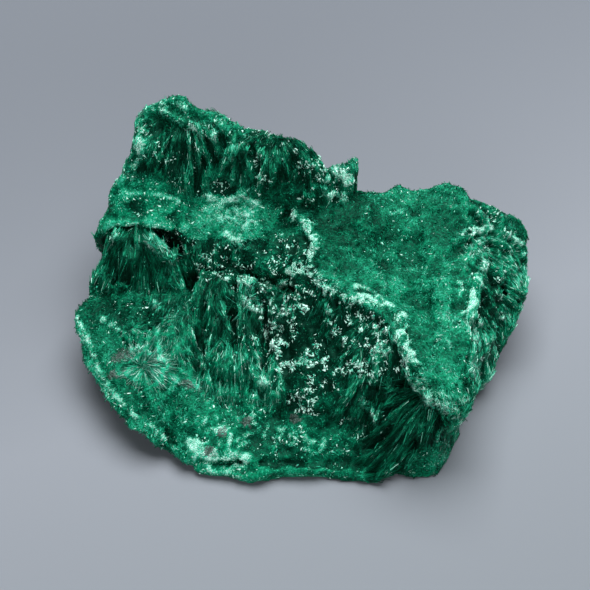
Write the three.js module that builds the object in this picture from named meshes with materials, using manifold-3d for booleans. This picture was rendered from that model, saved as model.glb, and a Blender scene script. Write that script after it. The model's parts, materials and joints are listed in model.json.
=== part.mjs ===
// A hand specimen of fibrous malachite, in millimetres, +Z up, resting on its flat broken base.
//
// The mass grew as bundles of needle crystals and broke along the partings between them, so it is
// described as overlapping blocks. Each block is the convex hull of the few corners where its fracture
// faces meet. Every block is cut into small triangles, roughened with noise, and joined to the others
// in one solid, because the crystals are intergrown. Clefts are then cut where bundles gape apart.

import * as THREE from "three";
import { ConvexGeometry } from "three/addons/geometries/ConvexGeometry.js";
import { ImprovedNoise } from "three/addons/math/ImprovedNoise.js";
import { TessellateModifier } from "three/addons/modifiers/TessellateModifier.js";
import { mergeVertices } from "three/addons/utils/BufferGeometryUtils.js";
import Module from "manifold-3d";

const wasm = await Module();
wasm.setup();

// Driving dimensions
const FACET = 4.2; // longest triangle edge on a fracture face
const LUMPS = [
  // noise that shifts the faces: how far it moves them, and the distance between its lumps
  { height: 1.7, spacing: 12 },
  { height: 1.4, spacing: 4.6 },
];
const AXIS_SHIFT = 31.7; // keeps the noise of the three axes apart
const WELD = 0.001; // vertices closer than this are one vertex
const MARGIN = 20; // how far the trimming block reaches past the specimen

// Heights of the levels that the specimen broke to
const CREST = 34; // top of the back block
const PLATEAU = 21; // back edge of the broad right-hand face
const SHELF = 20; // foot of the back block
const BURIED = -3; // below the seat at 0, trimmed away

// Corners of each block, as [x, y, z]: x to the right, y to the back.
const BLOCKS = {
  // high block along the back left, with a steep face to the front
  backBlock: [
    [-24.8, 23.4, CREST - 1], [-21, 24.4, CREST], [-17, 23.6, CREST - 1.4], [-12.5, 22.2, CREST - 2],
    [-9, 21.2, CREST - 2.2], [-23.4, 21.5, CREST - 2], [-15, 18.8, CREST - 3.2], [-28.2, 17.7, 26],
    [-30.2, 15.5, SHELF + 1], [-14, 14.5, SHELF], [-9, 13.5, SHELF], [-26.5, 28, 24], [-12, 28.5, 23],
    [-28, 26, BURIED], [-12, 29, BURIED], [-28, 14, BURIED], [-6, 16, BURIED], [-6, 26, 12],
  ],
  // its lower, rounder half, running down to the right
  backShoulder: [
    [-10, 21.2, CREST - 2.2], [-5.5, 19.9, CREST - 2.3], [-1.6, 18.6, CREST - 2.6], [1.8, 16.8, CREST - 3.6],
    [-5, 16.4, CREST - 5.5], [-10, 13.5, SHELF], [1, 12.6, SHELF + 2], [2.5, 14, 24], [-6, 26, 21],
    [3, 23, 17], [-8, 28, BURIED], [6, 25, BURIED], [-10, 12, BURIED], [5, 12, BURIED],
  ],
  // knob where it steps down to the square block
  backKnob: [
    [1.2, 17.2, CREST - 3.4], [4, 15.8, CREST - 4], [5.4, 14.8, CREST - 6.8], [1.4, 13.2, 24],
    [5.6, 13, 22], [1, 20, 20], [6, 19, 18], [1, 13, 12], [6, 13, 12],
  ],
  // square block that stands up at the right end of the back wall
  cornerBlock: [
    [5.6, 15, CREST - 8.2], [7.2, 15.2, CREST - 8], [9.9, 14.9, CREST - 8.6], [9.4, 17.4, CREST - 9.2],
    [6, 12.6, SHELF + 1], [8, 12.6, SHELF + 2.6], [10.6, 14.2, SHELF - 1], [11, 18.6, 14], [4, 19.5, 14],
    [10.6, 13.4, BURIED], [11.4, 20, BURIED], [4, 12, BURIED],
  ],
  // tent-shaped nose on the face of the back block
  nose: [
    [-11, 19.6, CREST - 3.6], [-8.2, 18.8, CREST - 3.8], [-14, 14, SHELF - 1], [-9, 11.6, SHELF - 1],
    [-3.4, 13.2, SHELF - 1], [-9.4, 15.6, SHELF + 6], [-9, 21, CREST - 5], [-9, 20, SHELF - 4],
  ],
  // tilted ledge under the left end of the back block
  leftLedge: [
    [-30.6, 16, SHELF + 1], [-24, 16.2, SHELF + 2], [-19, 15.6, SHELF + 1.4], [-20.2, 9.4, 17.8],
    [-26, 8.6, 17.6], [-32.2, 10.3, 17], [-33.8, 12, 15.6], [-18.6, 12, 18], [-33.2, 13, 6],
    [-30, 19, 6], [-19, 9, 8], [-19, 17, 8], [-30, 12, BURIED], [-20, 10, BURIED],
  ],
  // broken ridge whose needles hang down to the left flank
  leftRidge: [
    [-31.5, 8.4, 16], [-29, 8.6, 17], [-24.3, 8.2, 17.8], [-21.6, 6.6, 17], [-20, 5.4, 15],
    [-33.6, 5.6, 12], [-34.6, 2.3, 9], [-26, 1, 10], [-18.6, 0.8, 11], [-33.5, 9.5, 8],
    [-31.6, 12, 6], [-18, 10, 10], [-31, 4, BURIED], [-18, 0, BURIED], [-20, 12, BURIED],
  ],
  // broad low flank that overhangs the ground along the left edge
  leftFlank: [
    [-37.4, -3.4, 8.6], [-35.4, 2.4, 9.6], [-33.2, -10.6, 7.4], [-30.6, -17.6, 6.4], [-26.2, -22.2, 5.4],
    [-22, -24.9, 4.2], [-26, 1.4, 11.4], [-16, 0, 12.4], [-13, -14, 7.4], [-36, -3.2, 6.2],
    [-29.4, -16.8, 3.4], [-20.8, -24, 2], [-30, -3, BURIED], [-23.5, -15, BURIED],
    [-17, -21, BURIED], [-10, -12, BURIED], [-12, 2, BURIED],
  ],
  // sloping shelf between the ledge and the broad face
  shelf: [
    [-18.5, 14.6, SHELF], [-10, 15, SHELF + 1], [-2, 12.6, SHELF + 0.6], [-17.8, 6, 17.2],
    [-11.7, 6.4, 18.4], [-7.4, 6.6, 18.6], [-3.6, 8.6, 19.2], [-19, 4.6, 12], [-6, 3, 13],
    [-18, 3, BURIED], [0, 6, BURIED], [-18, 16, BURIED], [0, 16, BURIED],
  ],
  // dark bowl between the shelf and the long ridge
  bowl: [
    [-4, 9, 18.4], [0, 12.4, PLATEAU - 1], [2.6, 6.4, 19.6], [3.4, 1.4, 19.4], [-9, 4.2, 15.4],
    [-1.4, 1.6, 16.4], [2, -2, 17.4], [-8, 2, 8], [4, 12, 8], [4, -2, 8],
  ],
  // stepped bundle of upright columns below the shelf
  columns: [
    [-17.6, -1.6, 12.8], [-16.4, 2.6, 13.8], [-11, 3.4, 15], [-10.7, 0.2, 16.8], [-7.6, -1.4, 17.2],
    [-5, -2.2, 17], [-16.6, -8, 9.6], [-8, -6.4, 13], [-2, -7, 13.4], [-15, -14.3, 6.2],
    [-5.7, -16.6, 5.6], [0, -16, 6], [-15, -14, BURIED], [0, -15, BURIED], [-17, 4, BURIED],
    [0, 4, BURIED],
  ],
  // broken bundle beside them, lower and leaning right
  brokenColumn: [
    [-6, -2.6, 15.6], [-2.4, -2.4, 17.4], [1.4, -4.6, 17.6], [2.6, -6.4, 16.6], [-6.6, -7.6, 12.8],
    [1.6, -10.6, 12.2], [-4, -14, 7.6], [4, -15, 7.4], [-6, -6, 2], [6, -8, 2],
  ],
  // the long bruised ridge between the dark wall and the broad face, in three stretches
  ridgeBack: [
    [0.4, 12.2, PLATEAU + 0.2], [2, 6.8, PLATEAU + 0.4], [3.8, 1, PLATEAU], [5.2, -2.8, PLATEAU - 0.6],
    [-1.2, 11.4, 17], [3, 12.4, 17], [3.4, -3, 17], [6.6, -2.4, 17],
  ],
  ridgeMiddle: [
    [4.6, -2.4, PLATEAU - 0.4], [8.4, -5.6, PLATEAU - 1], [11.6, -8, PLATEAU - 1.6], [15, -10.6, PLATEAU - 2.2],
    [3.6, -3.8, 16.6], [5.8, -1, 16.6], [13.8, -12, 15], [16.2, -9.6, 15],
  ],
  ridgeFront: [
    [14.4, -10, PLATEAU - 2], [17.2, -15.4, PLATEAU - 3], [19.8, -19.6, PLATEAU - 4.2],
    [22.2, -23.2, PLATEAU - 5.4], [13.6, -11.2, 14.6], [16, -9.4, 14.6], [20.8, -23.6, 11], [23.6, -22.4, 11],
  ],
  // dark wall under it
  darkWall: [
    [3, 0.6, 19.2], [8, -6, 18.2], [14.2, -10.8, 17.2], [17, -16.2, 16], [3, -6.8, 15],
    [7.6, -11.6, 13.4], [12.8, -16, 12], [-3, -12, 9.4], [-4, -17, 6.2], [3.5, -20.5, 5.2],
    [10.6, -21.6, 5], [16, -21.6, 5], [-5, -17, BURIED], [10, -21, BURIED], [18, -20, BURIED],
    [-2, 4, BURIED], [16, -6, BURIED],
  ],
  // broad bright face at the right, back half
  plateauBack: [
    [0.8, 12.6, PLATEAU], [5, 13.6, PLATEAU + 0.6], [13, 13.8, PLATEAU - 0.8], [18.6, 14.2, PLATEAU - 0.6],
    [22.6, 14.4, PLATEAU - 1], [27, 15.6, PLATEAU - 1], [1.8, 6.7, 20.8], [3.3, 1, 20.4],
    [8, -5.8, 19.5], [14.4, -10.4, 18.6], [30.8, 10, 20], [31, -3.2, 18.6], [28.8, -13, 16.8],
    [18, -14, 17.6], [2, 10, 8], [10, -4, 8], [27, 18, 13], [2, 16, 14],
    [4, 16, BURIED], [26, 17, BURIED], [6, 0, BURIED], [28, -10, BURIED],
  ],
  // hump on its back edge
  backHump: [
    [23.4, 15.2, PLATEAU - 1], [26, 16, PLATEAU - 0.2], [29, 15.4, PLATEAU - 1], [24, 12, PLATEAU - 1],
    [29.4, 12.4, PLATEAU - 0.6], [24, 18.4, 14], [30, 18, 14], [27, 12, 14],
  ],
  // front half of the face, which ends in a blunt prow
  plateauFront: [
    [14.4, -10.2, 18.4], [17.3, -16, 17.3], [19.8, -19.8, 16.2], [21.6, -23, 15.4], [24, -24.2, 14.8],
    [27.7, -24, 14], [28.8, -18, 15], [28.8, -12, 16.6], [26.8, -25.4, 11.6], [25, -25.9, 9.6],
    [21.6, -24.4, 10], [15.4, -16, 9], [29, -17, 9], [24, -20, BURIED], [27.4, -12, BURIED],
    [16, -12, BURIED],
  ],
  // fan of needles under the prow
  frontFan: [
    [17.1, -16.2, 15.4], [20.6, -21.6, 14.2], [24.6, -24.4, 9.6], [23.8, -25.6, 6], [25.2, -20, 8],
    [10.8, -21.6, 5.2], [9, -27.6, 1.8], [16, -28, 1.8], [23.6, -27.2, 1.8], [25.6, -21, 3],
    [9, -27.2, BURIED], [24, -27.2, BURIED], [27, -18, BURIED], [12, -14, BURIED],
  ],
  // rough shoulder falling away on the right
  rightShoulder: [
    [27, 14.8, 19.4], [30.4, 14, 18.2], [33.6, 13.6, 17.2], [38, 14.2, 15.8], [39.6, 12.2, 14.4],
    [39.9, 7.8, 12.2], [38.6, 2, 10.4], [37.2, -3.2, 8.6], [33.6, -7, 6.8], [31.8, -10.8, 4.8],
    [31.6, 10, 18.8], [31.4, -3.2, 17.4], [29, -12, 15.2], [29, -12.8, 4.4], [37.6, 8, 6],
    [33, 18.6, 9], [27, 19.6, 10], [33, 8, BURIED], [33, -3, BURIED], [29, -11.6, BURIED],
    [26, 18, BURIED], [20, -10, BURIED],
  ],
  // curled plate standing off the shoulder
  shoulderPlate: [
    [31.6, 4.6, 19.6], [34.2, 2.6, 17.6], [34.8, -1.6, 15.6], [33.4, -6.6, 13.6], [30.8, -3, 18.2],
    [30.4, -8, 16.2], [32, -8.6, 9], [35.4, 0, 9], [31, 5, 10],
  ],
  // crusty ledge along the front foot
  frontLedge: [
    [-21, -19, 6.6], [-14, -14, 7], [-6, -17.4, 6.4], [5, -21.4, 5.2], [12, -22, 4.8],
    [-21.6, -23.8, 4.4], [-17, -26.6, 2.6], [-4, -26.6, 3.2], [6, -27.2, 2.8], [14, -27.2, 2.8],
    [-15, -24.6, BURIED], [6, -26, BURIED], [14, -26.2, BURIED], [-14, -12, BURIED], [12, -14, BURIED],
  ],
  // thin bottom layer that shows as a lip under the ledge
  lip: [
    [-16.4, -27.6, 1.3], [-9, -28.4, 1.5], [-1, -28.8, 1.4], [6, -29.2, 1.5], [12, -29.3, 1.7],
    [17, -28.6, 1.6], [-12, -18, 1.4], [14, -18, 1.4], [-16, -27, BURIED], [-1, -28.4, BURIED],
    [8, -28.8, BURIED], [16, -28.2, BURIED], [-12, -18, BURIED], [14, -18, BURIED],
  ],
  // solid heart that the bundles grew out from
  heart: [
    [-24, 8, 8], [-12, -14, 5], [14, -17, 7], [25, -14, 9], [30, 2, 10], [24, 13, 10], [-20, 20, 12],
    [-26, 8, BURIED], [-16, -18, BURIED], [14, -20, BURIED], [26, -16, BURIED], [31, 3, BURIED],
    [25, 15, BURIED], [-21, 23, BURIED],
  ],
  // hidden back foot of the mass
  backFoot: [
    [-28, 20, 12], [-20, 27.5, 15], [0, 27, 14], [12, 21.5, 15], [25, 18.6, 12], [30, 16, 8],
    [-27, 26, 3], [-12, 30, 4], [6, 28, 4], [24, 21, 4], [-24, 24, BURIED], [4, 26, BURIED],
    [26, 17, BURIED], [-24, 6, BURIED], [26, 4, BURIED],
  ],
};

// Corners of each gap between bundles, cut out of the mass.
const CLEFTS = {
  // dark hole between the ledge, the ridge and the shelf
  ledgeHole: [
    [-22.4, 8, 20], [-17.6, 8.6, 21], [-16.6, 3, 19], [-20, 2.6, 19], [-21, 9.4, 13], [-18, 5, 11.6],
  ],
  // groove between the ledge and the ridge
  ledgeGroove: [
    [-34, 10.2, 20], [-20, 9, 20], [-34, 8, 20], [-20, 6.8, 20], [-28, 10, 14.6], [-22, 9.2, 13.6],
  ],
  // upright splits between the columns
  leftSplit: [
    [-16.8, -2.4, 16], [-14.8, -2.4, 16], [-16, -16, 9], [-13.6, -16, 9], [-15.2, -12, 5], [-15.6, -3, 9],
  ],
  middleSplit: [
    [-12, -2.4, 20], [-9.6, -2.8, 20], [-11.4, -13, 11.5], [-9, -13, 11.5], [-10.6, -1, 11.6], [-10, -9, 7],
  ],
  rightSplit: [
    [-6, -3, 20], [-3.8, -3.2, 20], [-6.6, -14, 10], [-4, -14, 10], [-4.8, -2.4, 12.6], [-5, -11, 6.6],
  ],
  // slits in the right shoulder
  upperSlit: [
    [29.6, 13.4, 22], [31.8, 13.8, 22], [32, 9.4, 21], [34.2, 10, 21], [31.8, 11.6, 15],
  ],
  lowerSlit: [
    [34.8, 4, 19], [36.8, 4.2, 19], [35.2, -5.4, 16], [37.4, -4.6, 16], [35, -0.6, 9.6],
  ],
  // notch where the square block stands clear of the broad face
  cornerNotch: [
    [11.6, 13.4, 34], [16, 14, 34], [11.6, 22, 34], [18, 22, 34], [11.8, 14.6, 20], [13.4, 22, 15],
  ],
  // hollow worn into the broad face, which leaves its rims standing
  plateauDish: [
    [6.6, 9.4, 21.8], [15, 11.6, 22], [24, 10.6, 21.4], [26.6, 2, 20.4], [26.4, -8, 19],
    [22.4, -17.6, 17.4], [19.4, -14, 18.2], [13.6, -5.6, 20], [8, 0.6, 21], [12, 6, 19.4],
    [21, 5, 18.8], [21, -7, 16.9],
  ],
};

const noise = new ImprovedNoise();

/** How far the roughness shifts a point along one axis, in millimetres. */
function shift({ x, y, z }, axis) {
  return LUMPS.reduce(
    (sum, { height, spacing }, i) =>
      sum + height * noise.noise(x / spacing + AXIS_SHIFT * (axis + 3 * i), y / spacing, z / spacing),
    0,
  );
}

/** A solid from a closed geometry, with only its positions kept and its shared vertices merged. */
function solidFrom(geometry) {
  const bare = new THREE.BufferGeometry().setAttribute("position", geometry.getAttribute("position"));
  if (geometry.index) bare.setIndex(geometry.index);
  const merged = mergeVertices(bare, WELD);
  return new wasm.Manifold(
    new wasm.Mesh({
      numProp: 3,
      vertProperties: merged.getAttribute("position").array,
      triVerts: new Uint32Array(merged.index.array),
    }),
  );
}

/** The hull of some corners, cut into small facets whose vertices the roughness shifts. */
function roughHull(corners) {
  const hull = new ConvexGeometry(corners.map((corner) => new THREE.Vector3(...corner)));
  const fine = new TessellateModifier(FACET, 10).modify(hull);
  const positions = fine.getAttribute("position");
  const point = new THREE.Vector3();
  for (let i = 0; i < positions.count; i++) {
    point.fromBufferAttribute(positions, i);
    positions.setXYZ(i, point.x + shift(point, 0), point.y + shift(point, 1), point.z + shift(point, 2));
  }
  return solidFrom(fine);
}

/** A plain block that holds everything below the seat. */
function ground() {
  const size = 8 * MARGIN;
  const block = new THREE.BoxGeometry(size, size, MARGIN);
  block.translate(0, 0, -MARGIN / 2);
  return solidFrom(block);
}

/**
 * The intergrown mass: all the blocks joined, the clefts cut, and the base broken off flat. Only its
 * outer surface is kept, which fills sealed pockets between blocks and drops crumbs that come loose.
 */
function mass() {
  const joined = Object.values(BLOCKS)
    .map(roughHull)
    .reduce((sum, block) => sum.add(block));
  const split = Object.values(CLEFTS)
    .map(roughHull)
    .reduce((whole, cleft) => whole.subtract(cleft), joined);
  const surfaces = split.subtract(ground()).decompose();
  return surfaces.reduce((largest, surface) => (surface.volume() > largest.volume() ? surface : largest));
}

/** A solid's surface as a geometry, moved so that its base centre is the origin. */
function standing(solid) {
  const { vertProperties, triVerts } = solid.getMesh();
  const geometry = new THREE.BufferGeometry();
  geometry.setAttribute("position", new THREE.BufferAttribute(new Float32Array(vertProperties), 3));
  geometry.setIndex(new THREE.BufferAttribute(new Uint32Array(triVerts), 1));
  geometry.computeBoundingBox();
  const { min, max } = geometry.boundingBox;
  geometry.translate(-(min.x + max.x) / 2, -(min.y + max.y) / 2, -min.z);
  geometry.computeVertexNormals();
  return geometry;
}

const malachite = new THREE.Mesh(
  standing(mass()),
  new THREE.MeshStandardMaterial({ color: 0x0b6b4f, roughness: 0.6, metalness: 0 }),
);
malachite.name = "malachite";

const specimen = new THREE.Group();
specimen.add(malachite);

export default specimen;
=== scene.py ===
"""A hand specimen of fibrous malachite on a pale studio floor.

The mass is a finer copy of the CAD solid. Over it lie crops of needle crystals, of crushed grains and
of rock crumbs, each one a closed sliver of mesh. The needles grow away from named growth points,
called sprays. Where a fracture face runs along the needles they lie on it as a fan, and where it runs
across them it is a short felt.
"""

from __future__ import annotations

import itertools
import json
import logging
import math
from dataclasses import dataclass, field
from enum import Enum

import bpy
import numpy as np
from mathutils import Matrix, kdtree

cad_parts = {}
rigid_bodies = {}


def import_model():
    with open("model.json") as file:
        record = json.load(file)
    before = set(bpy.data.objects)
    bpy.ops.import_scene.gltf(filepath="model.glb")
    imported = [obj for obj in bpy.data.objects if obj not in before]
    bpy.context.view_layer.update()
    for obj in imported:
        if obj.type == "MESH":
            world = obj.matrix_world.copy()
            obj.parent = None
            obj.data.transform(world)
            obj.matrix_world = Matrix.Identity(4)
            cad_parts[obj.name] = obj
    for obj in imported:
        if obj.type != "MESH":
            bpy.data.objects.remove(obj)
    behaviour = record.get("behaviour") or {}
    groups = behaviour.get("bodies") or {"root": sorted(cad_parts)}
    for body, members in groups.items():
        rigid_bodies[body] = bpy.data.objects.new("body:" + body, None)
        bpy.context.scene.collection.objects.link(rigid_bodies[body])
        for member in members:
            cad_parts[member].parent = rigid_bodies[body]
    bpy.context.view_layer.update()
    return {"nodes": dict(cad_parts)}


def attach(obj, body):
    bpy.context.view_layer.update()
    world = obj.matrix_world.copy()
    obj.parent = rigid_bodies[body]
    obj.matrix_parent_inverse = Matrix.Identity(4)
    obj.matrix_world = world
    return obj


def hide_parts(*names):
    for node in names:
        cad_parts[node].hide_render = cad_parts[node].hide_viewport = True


LOG = logging.getLogger("malachite")
MM = 0.001  # metres in a millimetre
CAD_NODE = "malachite"
BODY = "root"
UV_NAME = "OFBake"
TONE = "tone"

Point = tuple[float, float, float]
Path = tuple[Point, ...]


class Habit(Enum):
    """How the needles of a spray meet the fracture face."""

    FAN = "long needles that lie along the face"
    FELT = "short broken needles that stand across the face"
    CRUST = "stubby grains with no clear direction"


class Facing(Enum):
    """Which fracture faces the needles of a spray show on."""

    STEEP = "faces that drop away"
    LEVEL = "faces that look up"
    ANY = "all faces"


@dataclass(frozen=True)
class Spray:
    """One growth point and the needles that radiate from it.

    Args:
        name: what part of the specimen it makes.
        centre: the middle of its share of the surface, in the row frame, in millimetres.
        root: the growth point; the further off it is, the more nearly parallel the needles are.
        size: how far the spray holds its own against its neighbours, in millimetres.
        habit: how its needles meet the face.
        length: mean length of a whole needle, in millimetres.
        tone: mean brightness, from 0, almost black, to 1, bruised white.
        speckle: how much of it is dotted with crushed grains, from 0 to 1.
        facing: the faces that it shows on.
    """

    name: str
    centre: Point
    root: Point
    size: float
    habit: Habit
    length: float
    tone: float
    speckle: float
    facing: Facing = Facing.ANY


@dataclass(frozen=True)
class Bruise:
    """A line along which needles are crushed to pale powder.

    Args:
        name: what edge it runs along.
        width: how far the crushing reaches to each side, in millimetres.
        strength: from 0, untouched, to 1, white.
        path: the points that it passes, in millimetres.
    """

    name: str
    width: float
    strength: float
    path: Path


@dataclass(frozen=True)
class Fold:
    """A rib or a cleft in the surface.

    Args:
        name: what it makes.
        width: how far to each side it has faded to a third, in millimetres.
        height: of the rib in millimetres, or below zero the depth of the cleft.
        path: the points that it passes, in millimetres.
    """

    name: str
    width: float
    height: float
    path: Path


@dataclass(frozen=True)
class Patch:
    """A soft-edged place that is paler or darker than its surroundings.

    Args:
        name: what place it is.
        centre: in millimetres.
        radius: where it has faded to a third, in millimetres.
        lift: what it adds to the tone.
    """

    name: str
    centre: Point
    radius: float
    lift: float


@dataclass(frozen=True)
class Rock:
    """A spot where crumbs of the host rock are stuck on.

    Args:
        name: what place it is.
        centre: in millimetres.
        radius: in millimetres.
    """

    name: str
    centre: Point
    radius: float


class Cover(Enum):
    """Which places a crop of needles covers."""

    WHOLE = "the whole of its sprays"
    BRUISED = "the crushed edges"
    SPECKLED = "the scattered grains"
    ROCKY = "the crumbs of host rock"


FAN, FELT, CRUST = ALL = tuple(Habit)
STEEP, LEVEL = Facing.STEEP, Facing.LEVEL
BRUISED, SPECKLED, ROCKY = Cover.BRUISED, Cover.SPECKLED, Cover.ROCKY

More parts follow.
